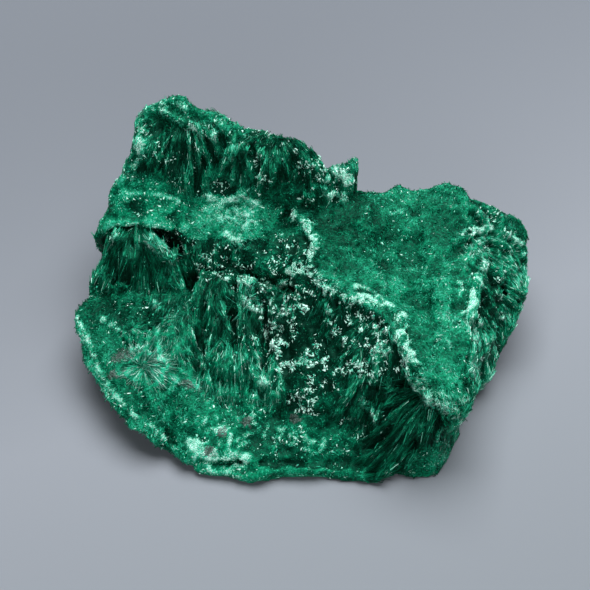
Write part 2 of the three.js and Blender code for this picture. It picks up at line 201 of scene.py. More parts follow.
SPRAYS: tuple[Spray, ...] = (
    # back block
    Spray("crest_left", (-21.6, 23.2, 32.9), (-21.6, 23.7, 27.9), 6.0, FELT, 1.2, 0.42, 0.15),
    Spray("left_edge", (-26.4, 17.9, 28.0), (-22.3, 23.9, 33.8), 6.5, FAN, 2.0, 0.36, 0.4),
    Spray("crest_fan", (-18.9, 17.1, 26.9), (-19.2, 22.7, 40.2), 7.5, FAN, 3.4, 0.27, 0.15),
    Spray("nose", (-11.1, 15.9, 25.7), (-10.7, 19.1, 32.4), 5.0, FAN, 3.4, 0.31, 0.12),
    Spray("crest_right", (-4.9, 13.8, 27.9), (-4.9, 16.8, 39.9), 7.0, FAN, 2.6, 0.27, 0.4),
    Spray("knob_foot", (0.7, 13.1, 25.4), (0.7, 15.1, 34.4), 5.0, FAN, 2.0, 0.28, 0.6),
    Spray("corner", (6.4, 14.3, 24.1), (6.4, 16.3, 32.1), 4.6, FAN, 2.4, 0.34, 0.2),
    Spray("back_base", (-12.8, 14.2, 21.7), (-12.8, 16.2, 17.7), 3.6, CRUST, 0.7, 0.12, 0.5),
    Spray("foot_crust", (-2.9, 12.6, 22.9), (-2.9, 14.6, 16.9), 4.2, CRUST, 0.8, 0.42, 0.5),
    Spray("crest_top", (-13.2, 19.2, 31.3), (-13.2, 20.2, 25.3), 5.0, FELT, 1.2, 0.5, 0.2, LEVEL),
    # left side
    Spray("ledge", (-27.1, 12.6, 20.0), (-27.1, 14.6, 12.0), 8.4, CRUST, 0.8, 0.53, 0.15),
    Spray("ledge_right_part", (-21.7, 12.7, 20.4), (-21.7, 14.7, 12.4), 4.6, CRUST, 0.8, 0.46, 0.2),
    # its near-black tone is painted shade in the hollow by the shelf
    Spray("left_hollow", (-21.8, 8.4, 15.9), (-21.8, 10.4, 12.9), 3.0, CRUST, 0.7, 0.06, 0.3),
    Spray("left_fan", (-27.4, 5.0, 13.9), (-27.1, 12.0, 18.8), 7.4, FAN, 5.6, 0.2, 0.08),
    Spray("left_fan_side", (-32.9, 5.7, 13.0), (-29.9, 8.7, 25.0), 5.4, FAN, 4.0, 0.22, 0.1),
    Spray("left_slope", (-21.0, 2.1, 11.8), (-22.0, 7.1, 27.8), 6.4, FAN, 3.6, 0.31, 0.1),
    Spray("left_low", (-30.6, -1.3, 10.7), (-30.6, 0.7, 4.7), 6.0, FELT, 1.3, 0.38, 0.1),
    Spray("flank_rim", (-33.6, -9.1, 8.6), (-31.6, -7.1, 2.6), 7.0, FELT, 1.3, 0.45, 0.15),
    Spray("flank_low", (-28.0, -18.5, 6.7), (-27.0, -15.5, 0.7), 7.4, FELT, 1.3, 0.46, 0.15),
    Spray("flank_front", (-21.4, -20.4, 5.8), (-21.4, -17.4, -0.2), 7.0, FELT, 1.4, 0.47, 0.12),
    Spray("flank_middle", (-19.2, -9.3, 10.0), (-20.2, -4.3, 24.0), 5.4, FAN, 3.0, 0.42, 0.06),
    Spray("rosette_low", (-24.8, -13.6, 9.5), (-25.8, -12.7, 8.3), 7.4, FAN, 3.4, 0.5, 0.03),
    Spray("rosette_high", (-28.2, -6.8, 9.9), (-27.9, -5.9, 8.7), 3.6, FAN, 2.0, 0.41, 0.05),
    # middle
    Spray("shelf", (-11.7, 11.3, 18.9), (-11.7, 13.3, 9.9), 8.0, FELT, 1.0, 0.5, 0.08),
    Spray("shelf_right", (-3.0, 11.5, 19.6), (-3.0, 13.5, 10.6), 6.2, FELT, 1.0, 0.42, 0.2),
    Spray("shelf_front", (-13.7, 5.5, 15.4), (-13.7, 9.5, 27.4), 6.0, FAN, 2.2, 0.16, 0.4),
    Spray("shelf_step", (-7.8, 4.1, 17.0), (-7.8, 6.1, 12.0), 4.4, CRUST, 0.8, 0.22, 0.35),
    Spray("bowl", (-1.9, 1.7, 19.2), (-1.9, 3.7, 13.2), 5.6, CRUST, 0.8, 0.26, 0.35),
    Spray("left_column", (-14.8, -5.7, 11.7), (-15.8, 2.3, 33.7), 6.0, FAN, 4.6, 0.23, 0.08),
    Spray("middle_column", (-9.5, -6.2, 13.3), (-9.5, 1.8, 35.3), 4.6, FAN, 5.0, 0.23, 0.12),
    Spray("right_column", (-4.4, -7.0, 14.3), (-3.4, 1.0, 36.3), 5.0, FAN, 3.0, 0.18, 0.8),
    Spray("low_column", (-11.8, -12.6, 8.9), (-11.8, -5.6, 26.9), 6.2, FAN, 4.2, 0.34, 0.1),
    Spray("under_right", (-5.9, -15.3, 7.1), (-5.9, -8.3, 25.1), 5.0, FAN, 3.0, 0.4, 0.4),
    Spray("wall_upper", (4.6, -8.4, 16.5), (6.6, -2.4, 34.5), 5.2, FAN, 2.4, 0.17, 0.6, STEEP),
    Spray("wall_specked", (0.5, -11.7, 12.4), (1.5, -6.7, 4.4), 7.4, CRUST, 0.8, 0.2, 1.0),
    Spray("wall_right", (10.9, -14.3, 15.1), (13.9, -8.3, 31.1), 7.0, FAN, 3.0, 0.2, 0.8, STEEP),
    Spray("wall_foot", (2.6, -18.7, 8.6), (2.6, -14.7, 0.6), 6.0, CRUST, 0.9, 0.26, 0.5),
    Spray("wall_low", (9.4, -19.9, 7.0), (14.4, -12.9, 23.0), 6.4, FAN, 4.0, 0.27, 0.25),
    # broad face
    Spray("face_back", (7.2, 7.0, 20.7), (7.2, 8.0, 4.7), 9.0, FELT, 1.0, 0.36, 0.02, LEVEL),
    Spray("face_right", (19.7, 8.7, 20.3), (19.7, 9.7, 4.3), 10.0, FELT, 1.0, 0.43, 0.03, LEVEL),
    Spray("face_middle", (11.5, 0.6, 19.5), (11.5, 1.6, 3.5), 9.0, FELT, 1.0, 0.46, 0.03, LEVEL),
    Spray("face_centre", (19.6, -3.6, 17.9), (19.6, -2.6, 1.9), 9.0, FELT, 1.0, 0.45, 0.03, LEVEL),
    Spray("face_front", (20.1, -14.3, 18.1), (20.1, -13.3, 2.1), 9.0, FELT, 1.0, 0.46, 0.03, LEVEL),
    Spray("face_tip", (23.7, -22.1, 16.3), (23.7, -21.1, 0.3), 6.4, FELT, 1.0, 0.47, 0.03, LEVEL),
    # prow
    Spray("prow_fan", (17.5, -26.0, 9.3), (21.8, -22.2, 17.3), 8.0, FAN, 6.8, 0.19, 0.02),
    Spray("prow_low", (13.2, -26.1, 4.5), (22.8, -22.2, 18.3), 6.4, FAN, 6.0, 0.2, 0.05),
    Spray("prow_foot", (21.7, -27.2, 4.9), (21.7, -24.2, -1.1), 5.4, FELT, 1.2, 0.5, 0.05),
    Spray("prow_side", (24.2, -24.6, 7.3), (24.2, -20.6, 21.3), 5.4, FAN, 3.0, 0.46, 0.05),
    # right side
    Spray("right_crust", (26.8, -4.0, 17.8), (25.8, -3.0, 11.8), 4.6, CRUST, 0.8, 0.44, 0.4),
    Spray("shoulder_back", (30.3, 5.8, 17.6), (25.3, 5.8, 14.6), 6.0, FAN, 2.2, 0.44, 0.3),
    Spray("shoulder_hollow", (31.2, -4.4, 15.8), (28.2, -1.4, 24.8), 5.0, FAN, 2.4, 0.24, 0.3),
    Spray("shoulder_edge", (35.9, 4.9, 14.5), (26.9, 5.9, 12.5), 6.4, FAN, 2.6, 0.46, 0.12),
    Spray("shoulder_front", (30.5, -10.3, 11.4), (28.5, -7.3, 23.4), 6.4, FAN, 2.8, 0.42, 0.2),
    Spray("shoulder_low", (34.6, -2.9, 11.3), (28.6, -0.9, 18.3), 5.4, FAN, 2.8, 0.37, 0.1),
    # front foot
    Spray("ledge_left", (-14.1, -22.7, 4.2), (-14.1, -18.7, -1.8), 6.2, CRUST, 0.9, 0.49, 0.14),
    Spray("ledge_middle", (-7.1, -21.1, 4.3), (-7.1, -17.1, -1.7), 6.0, CRUST, 0.9, 0.44, 0.16),
    Spray("ledge_right", (1.6, -23.7, 3.5), (1.6, -19.7, -2.5), 6.4, CRUST, 0.9, 0.43, 0.16),
    Spray("ledge_end", (7.5, -26.0, 2.5), (7.5, -22.0, -3.5), 4.6, CRUST, 0.9, 0.36, 0.2),
    Spray("lip", (-11.3, -27.8, 2.0), (-11.3, -23.8, 0.0), 3.6, CRUST, 0.8, 0.48, 0.2),
    # back and foot, out of the main view
    Spray("back_wall", (-10.0, 24.0, 18.0), (-10.0, 12.0, 14.0), 12.0, FELT, 1.2, 0.34, 0.3, STEEP),
    Spray("back_right", (12.0, 18.0, 12.0), (6.0, 6.0, 10.0), 12.0, FELT, 1.2, 0.34, 0.3, STEEP),
    Spray("back_far_right", (28.0, 14.0, 10.0), (18.0, 4.0, 6.0), 10.0, FELT, 1.2, 0.34, 0.3, STEEP),
    Spray("back_left", (-26.0, 18.0, 12.0), (-20.0, 10.0, 10.0), 10.0, FELT, 1.2, 0.34, 0.3, STEEP),
    Spray("left_foot", (-35.0, 4.0, 4.0), (-24.0, 2.0, 6.0), 9.0, FELT, 1.2, 0.34, 0.3, STEEP),
    Spray("right_foot", (34.0, 2.0, 3.0), (24.0, 0.0, 5.0), 8.0, FELT, 1.2, 0.3, 0.3, STEEP),
)

# Edges that are both crushed and ribbed, in millimetres.
RIDGE_HEAD: Path = (
    (-1.5, 10.8, 19.7), (0.2, 9.3, 20.4), (1.5, 7.2, 20.5), (2.5, 4.5, 21.0), (2.3, 2.1, 21.5),
)
RIDGE_BACK: Path = (
    (-2.4, 0.2, 17.7), (-0.3, -0.6, 19.1), (1.3, -0.6, 19.9), (2.5, -3.4, 19.4), (3.8, -4.6, 19.0),
    (5.2, -5.6, 19.0), (7.3, -6.8, 18.9),
)
RIDGE_MIDDLE: Path = (
    (7.3, -6.8, 18.9), (9.1, -7.0, 19.6), (10.7, -6.6, 18.9), (13.6, -8.3, 18.6), (15.6, -10.2, 18.5),
)
RIDGE_FRONT: Path = (
    (15.6, -10.2, 18.5), (15.8, -13.4, 18.0), (16.8, -17.7, 17.9), (17.7, -20.6, 16.3), (19.2, -22.8, 15.7),
    (21.1, -24.7, 15.0),
)
RIGHT_BRANCH: Path = ((25.1, 5.4, 18.8), (27.2, 6.7, 18.8), (29.0, 7.8, 19.1), (30.9, 8.8, 18.7))
RIGHT_ARC: Path = (
    (27.5, 3.5, 18.4), (29.3, 5.7, 18.4), (30.9, 7.1, 17.5), (32.8, 6.9, 16.8), (34.4, 6.5, 15.7),
)
RIGHT_RIDGE: Path = (
    (29.0, 4.2, 18.3), (30.0, 2.5, 17.2), (29.6, -0.7, 17.8), (28.1, -4.1, 18.0), (27.4, -7.1, 17.8),
    (27.1, -9.6, 17.7),
)
CREST_LINE: Path = ((-22.8, 22.9, 31.8), (-20.2, 21.0, 32.1), (-17.5, 19.6, 31.7), (-14.9, 18.8, 30.8))
CREST_EDGE: Path = ((-12.8, 16.9, 26.2), (-11.6, 17.1, 28.3), (-10.2, 17.6, 29.4), (-9.2, 17.4, 28.7))
FAN_RIM: Path = (
    (-31.1, 8.1, 17.0), (-28.9, 9.7, 15.5), (-26.9, 10.0, 15.6), (-25.0, 7.4, 17.0), (-23.4, 6.3, 16.0),
    (-22.0, 5.2, 14.9),
)

BRUISES: tuple[Bruise, ...] = (
    Bruise("long ridge, head", 1.1, 0.9, RIDGE_HEAD),
    Bruise("long ridge, neck", 0.9, 0.7, ((2.3, 2.1, 21.5), (1.2, 0.8, 20.8), (1.0, -0.7, 19.5))),
    Bruise("long ridge, back", 1.05, 1.0, RIDGE_BACK),
    Bruise("long ridge, middle", 1.1, 0.95, RIDGE_MIDDLE),
    Bruise("long ridge, front", 1.3, 1.0, RIDGE_FRONT),
    Bruise("long ridge, tip", 1.6, 1.0, (
        (20.2, -24.0, 15.1), (21.4, -24.9, 14.7), (23.0, -25.4, 14.6), (24.6, -25.3, 14.2),
    )),
    Bruise("right ridge, branch", 0.8, 1.0, RIGHT_BRANCH),
    Bruise("right ridge, arc", 0.7, 1.0, RIGHT_ARC),
    Bruise("right ridge, back", 0.6, 0.5, (
        (28.4, 10.6, 20.6), (29.4, 9.1, 19.9), (29.8, 7.6, 19.0), (29.6, 5.9, 18.5), (29.1, 3.2, 18.5),
    )),
    Bruise("right ridge, middle", 0.9, 1.0, RIGHT_RIDGE),
    Bruise("right ridge, blotches", 1.0, 0.65, ((26.3, -3.2, 18.1), (27.0, -6.0, 17.6), (26.5, -9.6, 17.5))),
    Bruise("right ridge, front", 0.7, 0.6, (
        (27.2, -8.2, 17.7), (28.5, -8.7, 15.3), (27.7, -11.6, 15.3), (28.3, -12.3, 12.0), (26.8, -18.1, 15.2),
        (27.1, -20.3, 13.9), (26.5, -23.3, 14.7),
    )),
    Bruise("column tops", 0.9, 0.85, (
        (-12.0, 0.6, 15.9), (-10.5, -0.3, 16.5), (-8.8, -1.3, 16.9), (-6.6, 0.9, 13.0), (-4.3, 0.5, 13.3),
        (-1.9, -0.6, 16.3),
    )),
    Bruise("column tuft", 1.0, 0.8, ((-9.0, -2.8, 14.9), (-8.2, -3.9, 14.4), (-7.4, -5.5, 13.5))),
    Bruise("ridge spur, face", 0.5, 0.7, ((7.0, -6.1, 19.5), (9.1, -4.7, 19.6), (11.4, -5.1, 19.2))),
    Bruise("ridge spur, wall", 0.6, 0.6, ((3.8, -5.0, 18.5), (3.3, -6.6, 17.2), (4.6, -8.4, 16.5))),
    Bruise("ridge crumbs", 0.7, 0.6, ((15.8, -13.4, 18.0), (14.4, -14.6, 16.7), (13.1, -15.4, 16.0))),
    Bruise("right filigree, middle", 0.45, 0.75, ((28.6, 5.8, 18.4), (30.3, 4.5, 17.5), (31.5, 3.3, 17.9))),
    Bruise("right filigree, front", 0.45, 0.7, ((32.7, -2.5, 14.2), (33.3, -2.8, 12.3), (32.9, -4.1, 11.2))),
    Bruise("right filigree, foot", 0.5, 0.6, ((27.2, -8.2, 17.7), (25.8, -9.9, 17.3), (26.4, -12.3, 17.2))),
    Bruise("right filigree, edge", 0.5, 0.5, ((34.3, 9.7, 17.1), (36.4, 9.5, 14.6), (37.2, 8.2, 13.3))),
    Bruise("face scratches, back", 0.4, 0.35, ((13.9, 10.2, 20.6), (16.1, 11.1, 20.6), (17.7, 10.2, 20.4))),
    Bruise("face scratches, middle", 0.4, 0.35, ((16.1, -0.4, 18.2), (18.1, 0.4, 18.2), (20.0, -0.6, 18.3))),
    Bruise("face scratches, front", 0.4, 0.6, (
        (21.4, -13.7, 17.9), (23.0, -14.7, 17.6), (23.9, -16.3, 17.1),
    )),
    Bruise("low tuft", 0.9, 0.6, ((-6.5, -15.0, 7.5), (-5.5, -14.5, 8.0), (-4.4, -15.9, 8.1))),
    Bruise("shelf back", 0.7, 0.6, (
        (-16.2, 13.8, 20.9), (-13.4, 13.5, 20.3), (-10.3, 13.4, 21.4), (-7.6, 12.4, 20.9),
    )),
    Bruise("shelf middle", 1.4, 0.45, (
        (-14.7, 12.8, 19.8), (-12.4, 11.7, 19.0), (-10.3, 10.0, 18.9), (-8.6, 10.2, 19.6),
    )),
    Bruise("shelf edge", 0.8, 0.6, ((-12.8, 8.3, 17.7), (-11.0, 7.0, 17.8), (-9.3, 6.2, 17.5))),
    Bruise("crest line", 0.7, 0.85, CREST_LINE),
    Bruise("crest edge", 0.8, 1.0, CREST_EDGE),
    Bruise("top edge", 0.7, 0.45, ((-24.6, 23.5, 32.2), (-22.2, 23.7, 32.9), (-19.2, 22.7, 33.5))),
    Bruise("left edge", 0.8, 0.6, ((-26.9, 18.8, 29.0), (-27.7, 17.5, 26.0), (-28.5, 16.3, 23.1))),
    Bruise("corner edge", 0.9, 0.95, (
        (4.7, 14.7, 24.6), (6.0, 15.3, 25.4), (7.4, 14.9, 25.1), (7.9, 13.8, 24.0),
    )),
    Bruise("corner foot", 0.8, 0.6, ((3.4, 13.1, 23.4), (5.1, 13.0, 22.5), (7.2, 12.4, 22.2))),
    Bruise("ledge edge", 0.6, 0.4, (
        (-32.2, 10.5, 17.8), (-29.4, 10.1, 18.3), (-26.7, 10.2, 18.6), (-23.7, 9.4, 18.5),
    )),
    Bruise("ledge back", 0.45, 0.45, (
        (-30.8, 13.8, 21.2), (-28.4, 14.2, 21.4), (-25.8, 14.3, 21.3), (-22.9, 14.0, 21.1),
        (-20.7, 13.0, 20.8),
    )),
    Bruise("left fan rim", 0.9, 0.8, FAN_RIM),
    Bruise("left rim, back", 0.42, 0.5, (
        (-37.3, -3.2, 9.6), (-36.1, -6.1, 8.8), (-34.6, -9.4, 8.3), (-33.1, -13.3, 7.2),
    )),
    Bruise("left rim, front", 0.42, 0.42, (
        (-33.1, -13.3, 7.2), (-30.5, -17.3, 7.1), (-27.1, -20.8, 6.2), (-23.8, -22.7, 4.8),
        (-20.6, -24.8, 2.7),
    )),
    Bruise("front crust, left", 1.8, 0.7, (
        (-17.3, -24.9, 3.4), (-15.5, -26.5, 3.2), (-12.9, -27.0, 2.4), (-10.4, -26.9, 1.7),
    )),
    Bruise("front crust, middle", 1.4, 0.5, ((-15.3, -21.7, 4.8), (-12.9, -23.5, 4.3), (-10.0, -23.8, 3.6))),
    Bruise("front crust, back", 1.2, 0.5, ((-10.4, -19.2, 4.9), (-8.1, -20.5, 4.5), (-6.5, -22.4, 3.8))),
    Bruise("rosette edge", 0.5, 0.3, (
        (-28.7, -9.6, 8.6), (-26.9, -9.7, 9.8), (-24.5, -11.0, 10.3), (-22.5, -12.6, 9.7),
    )),
    Bruise("flank crumbs", 0.6, 0.4, ((-33.6, -3.1, 9.5), (-31.2, -4.7, 9.4), (-29.8, -7.0, 9.0))),
    Bruise("slope crumbs", 0.6, 0.45, ((-25.3, -1.0, 11.6), (-23.6, -2.5, 10.8), (-21.5, -4.8, 11.6))),
    Bruise("front crust, right", 1.4, 0.4, ((-3.6, -22.5, 3.9), (-0.8, -23.4, 3.9), (2.9, -24.6, 3.0))),
    Bruise("wall streak", 0.6, 0.6, ((9.4, -19.2, 8.8), (10.7, -19.9, 7.0), (11.7, -22.0, 6.5))),
    Bruise("wall tuft", 0.9, 0.5, ((-0.3, -13.8, 11.8), (1.3, -12.6, 12.3), (2.6, -14.1, 12.3))),
    Bruise("wall tuft, right", 0.6, 0.5, ((10.6, -15.8, 14.3), (11.6, -15.0, 15.1), (12.5, -14.5, 16.1))),
)

FOLDS: tuple[Fold, ...] = (
    Fold("cleft, left columns", 0.5, -1.1, (
        (-18.5, -2.7, 12.2), (-17.4, -6.2, 11.4), (-16.8, -8.2, 8.6), (-15.7, -13.2, 8.4),
    )),
    Fold("cleft, middle columns", 0.8, -1.8, (
        (-11.7, 0.3, 16.0), (-11.5, -2.1, 15.1), (-11.3, -4.1, 13.4), (-11.5, -5.5, 10.4),
    )),
    Fold("cleft, right column", 0.7, -1.2, ((-6.5, -3.8, 14.5), (-6.1, -5.7, 12.2), (-5.4, -8.2, 8.7))),
    Fold("cleft, far column", 0.7, -0.9, ((-3.1, -8.5, 13.0), (-2.4, -11.2, 11.2), (-2.9, -14.8, 9.9))),
    Fold("cleft, foot of the columns", 0.7, -0.7, (
        (-15.7, -13.5, 8.3), (-14.4, -14.6, 7.6), (-12.8, -14.9, 6.9),
    )),
    Fold("cleft by the shelf", 0.9, -1.8, (
        (-23.7, 8.8, 17.2), (-22.4, 8.5, 16.5), (-21.2, 8.4, 14.6), (-20.5, 8.3, 13.2),
    )),
    Fold("cleft right of the nose", 0.8, -1.1, ((-8.6, 17.3, 28.6), (-7.6, 15.1, 27.3), (-7.9, 13.9, 24.5))),
    Fold("cleft left of the nose", 0.8, -1.0, (
        (-16.1, 17.1, 26.4), (-17.0, 15.6, 24.1), (-17.7, 14.3, 22.1),
    )),
    Fold("cleft by the knob", 0.8, -1.0, ((-1.0, 14.9, 28.7), (-0.3, 13.8, 27.0), (0.7, 12.4, 24.1))),
    Fold("cleft over the left fan", 0.6, -1.1, (
        (-31.9, 9.8, 16.9), (-29.5, 9.7, 17.2), (-27.1, 9.7, 17.7), (-25.1, 9.4, 17.2), (-23.3, 8.7, 16.8),
    )),
    Fold("shoulder slit", 0.6, -1.4, ((28.4, 10.6, 20.6), (29.0, 9.5, 20.1), (29.9, 8.5, 19.5))),
    Fold("shoulder hole", 0.8, -1.8, ((31.3, 0.0, 17.4), (32.1, -1.5, 16.6), (33.5, 0.2, 12.4))),
    Fold("shoulder hollow", 0.9, -1.4, ((29.8, -4.6, 16.5), (30.5, -5.6, 15.2))),
    Fold("foot notch", 0.5, -0.7, ((-22.2, -21.9, 4.8), (-21.7, -23.0, 4.0), (-21.2, -24.1, 3.2))),
    Fold("cleft over the lip", 0.5, -0.9, (
        (-16.8, -27.2, 2.4), (-14.9, -27.4, 2.2), (-12.4, -27.2, 1.9), (-9.2, -27.0, 1.9), (-6.5, -27.3, 2.1),
    )),
    Fold("cleft behind the prow", 0.8, -0.8, ((14.4, -15.4, 16.4), (15.4, -17.6, 14.6), (15.7, -19.9, 12.3))),
    Fold("rib, ridge head", 0.9, 0.5, RIDGE_HEAD),
    Fold("rib, ridge back", 0.75, 0.45, RIDGE_BACK[2:]),
    Fold("rib, ridge middle", 0.75, 0.45, RIDGE_MIDDLE),
    Fold("rib, ridge front", 0.75, 0.45, (*RIDGE_FRONT[:-1], (20.8, -24.5, 15.0))),
    Fold("rib, crest", 0.6, 0.6, CREST_LINE),
    Fold("rib, nose", 0.7, 0.8, CREST_EDGE),
    Fold("rib, left fan", 0.8, 1.1, FAN_RIM),
    Fold("rib, ledge front", 0.8, 0.5, (
        (-32.2, 10.7, 18.0), (-29.4, 10.2, 18.4), (-26.7, 10.4, 18.7), (-23.7, 9.6, 18.8),
    )),
    Fold("rib, right branch", 0.6, 0.5, RIGHT_BRANCH),
    Fold("rib, right arc", 0.5, 0.6, RIGHT_ARC),
    Fold("rib, right", 0.7, 0.5, RIGHT_RIDGE),
)

PATCHES: tuple[Patch, ...] = (
    Patch("shelf", (-10.7, 10.7, 19.1), 3.6, 0.2),
    Patch("face, left", (10.0, -2.1, 19.9), 3.6, 0.1),
    Patch("face, centre", (16.8, -5.4, 17.0), 4.0, 0.12),
    Patch("face, right", (23.6, -9.3, 17.8), 3.6, 0.1),
    Patch("face, front", (21.2, -20.0, 16.6), 3.2, 0.08),
    Patch("face, back", (16.4, 12.1, 20.7), 4.5, 0.06),
    Patch("face, dark back", (8.3, 3.2, 20.5), 5.0, -0.08),
    Patch("rosette, low", (-24.8, -13.3, 9.6), 2.6, 0.05),
    Patch("rosette, high", (-28.2, -6.8, 9.9), 1.8, 0.1),
    Patch("flank, dark", (-18.2, -17.8, 6.3), 3.0, -0.05),
    Patch("under columns", (-14.2, -17.6, 6.1), 4.0, 0.05),
    Patch("ledge, dark left", (-31.9, 13.1, 19.7), 2.5, -0.1),
    # painted shade between the columns
    Patch("between the columns", (-11.5, -8.5, 9.1), 3.2, -0.08),
    Patch("prow, flank", (12.5, -17.6, 13.5), 3.5, -0.06),
    Patch("bowl, floor", (-5.6, 2.7, 17.1), 2.2, 0.12),
    # painted shade in the hole under the columns, the hollow by the shelf and the hole in the ledge
    Patch("hole under columns", (-7.7, -2.6, 15.9), 1.2, -0.35),
    Patch("hollow by the shelf", (-22.3, 8.4, 16.1), 1.6, -0.35),
    Patch("ledge, hole", (-28.4, 12.6, 20.0), 1.0, -0.3),
    Patch("beside the shelf", (-18.5, 5.0, 11.8), 2.0, 0.08),
    # painted shade under the front ledge
    Patch("under the ledge", (-0.3, -26.7, 1.4), 2.5, -0.12),
    Patch("fan head, left", (-30.5, 4.7, 12.7), 3.0, -0.06),
    Patch("wall, back", (-3.6, -7.9, 13.6), 4.0, -0.09),
    Patch("wall, front", (2.6, -14.5, 12.1), 3.5, -0.06),
    Patch("flank, back", (-25.2, -4.6, 10.2), 3.2, -0.05),
)

ROCKS: tuple[Rock, ...] = (
    Rock("flank", (-29.8, -10.2, 8.1), 1.5),
    Rock("flank, small", (-31.0, -13.4, 7.6), 0.9),
    Rock("foot of the columns", (-18.9, -15.4, 7.5), 0.8),
    Rock("ledge, left", (-13.1, -22.8, 4.3), 1.0),
    Rock("ledge, front", (-15.2, -25.7, 3.7), 0.8),
    Rock("ledge, middle", (-9.1, -20.9, 4.5), 0.8),
    Rock("ledge, right", (-1.0, -20.8, 5.2), 0.9),
)


# ---------------------------------------------------------------------------------------------
# Small numeric tools
# ---------------------------------------------------------------------------------------------


# A turn that leaves no cell of the noise in line with an axis.
NOISE_TURN = np.array([[0.36, 0.48, -0.8], [-0.8, 0.6, 0.0], [0.48, 0.64, 0.6]])
# Large primes that mix a cell's three steps with the seed, and one that spreads the result.
CELL_PRIMES = (73856093, 19349663, 83492791)
SEED_PRIME = 2654435761
SPREAD_PRIME = 1274126177


def lattice_noise(points: np.ndarray, seed: int) -> np.ndarray:
    """Smooth noise with lumps one unit apart.

    Args:
        points: where to read it, one row of x, y, z each.
        seed: picks one of many patterns.

    Returns:
        One value from -1 to 1 for each point.
    """
    points = points @ NOISE_TURN
    cell = np.floor(points).astype(np.int64)
    part = points - cell
    ease = part * part * part * (part * (part * 6 - 15) + 10)
    total = np.zeros(len(points))
    for corner in itertools.product((0, 1), repeat=3):
        key = cell + np.array(corner)
        mixed = np.bitwise_xor.reduce(key * CELL_PRIMES, axis=1) ^ (seed * SEED_PRIME)
        mixed = ((mixed ^ (mixed >> 13)) * SPREAD_PRIME) & 0xFFFFFFFF
        mixed = (mixed ^ (mixed >> 16)) & 0xFFFF
        weight = np.prod(np.where(np.array(corner) == 1, ease, 1 - ease), axis=1)
        total += weight * (mixed / 0x7FFF - 1)
    return total


@dataclass(frozen=True)
class Noise:
    """A pattern of soft lumps.

    Args:
        size: from one lump to the next, in millimetres.
        seed: picks one of many patterns.
    """

    size: float
    seed: int

    def at(self, points: np.ndarray, shift: np.ndarray | float = 0.0) -> np.ndarray:
        """Its value from -1 to 1 at each point in millimetres, moved on by a shift in lumps."""
        return lattice_noise(points / self.size + shift, self.seed)


BORDERS = tuple(Noise(2.6, 100 + i) for i in range(len(SPRAYS)))  # how each spray's border wanders
LACE = Noise(1.5, 41)  # the threads of a network of crushed needles
BLOTS = Noise(0.8, 42)  # crushed spots
CLUMPS = Noise(0.85, 43)  # clumps of grains
REGIONS = Noise(3.5, 44)  # where clumps are many or few
WANDER = Noise(1.3, 45)  # how a bruise widens and narrows
RAGGED = Noise(0.9, 46)  # the rim of a spot of rock
CLOUDS, WISPS = Noise(5.2, 51), Noise(1.9, 52)  # paler and darker mineral
BUNDLES, THREADS = Noise(1.05, 61), Noise(0.42, 62)  # across a bundle of needles, and a few of them
LUMPS, KNOBS, GRIT = Noise(3.4, 63), Noise(1.7, 64), Noise(0.9, 65)  # roughness of a fracture face


def unit(vectors: np.ndarray) -> np.ndarray:
    """Each row scaled to length one."""
    return vectors / np.maximum(np.linalg.norm(vectors, axis=1, keepdims=True), 1e-12)


def ramp(values: np.ndarray, low: float, high: float) -> np.ndarray:
    """Values eased from 0 at low to 1 at high."""
    t = np.clip((values - low) / (high - low), 0, 1)
    return t * t * (3 - 2 * t)


def read(data: bpy.types.bpy_prop_collection, attribute: str, width: int = 3) -> np.ndarray:
    """One attribute of a mesh's elements as an array with a row for each."""
    kind = np.int32 if attribute == "vertices" else np.float32
    flat = np.zeros(len(data) * width, kind)
    data.foreach_get(attribute, flat)
    return flat.reshape(-1, width)


def distance_to_path(points: np.ndarray, path: Path) -> np.ndarray:
    """Distance from each point to a line of straight stretches."""
    best = np.full(len(points), np.inf)
    for start, end in itertools.pairwise(np.array(path, float)):
        along = end - start
        share = np.clip(((points - start) @ along) / (along @ along), 0, 1)
        best = np.minimum(best, np.linalg.norm(points - start - share[:, None] * along, axis=1))
    return best


# ---------------------------------------------------------------------------------------------
# Growth: which way the needles run, and how bright they are, at any point of the surface
# ---------------------------------------------------------------------------------------------


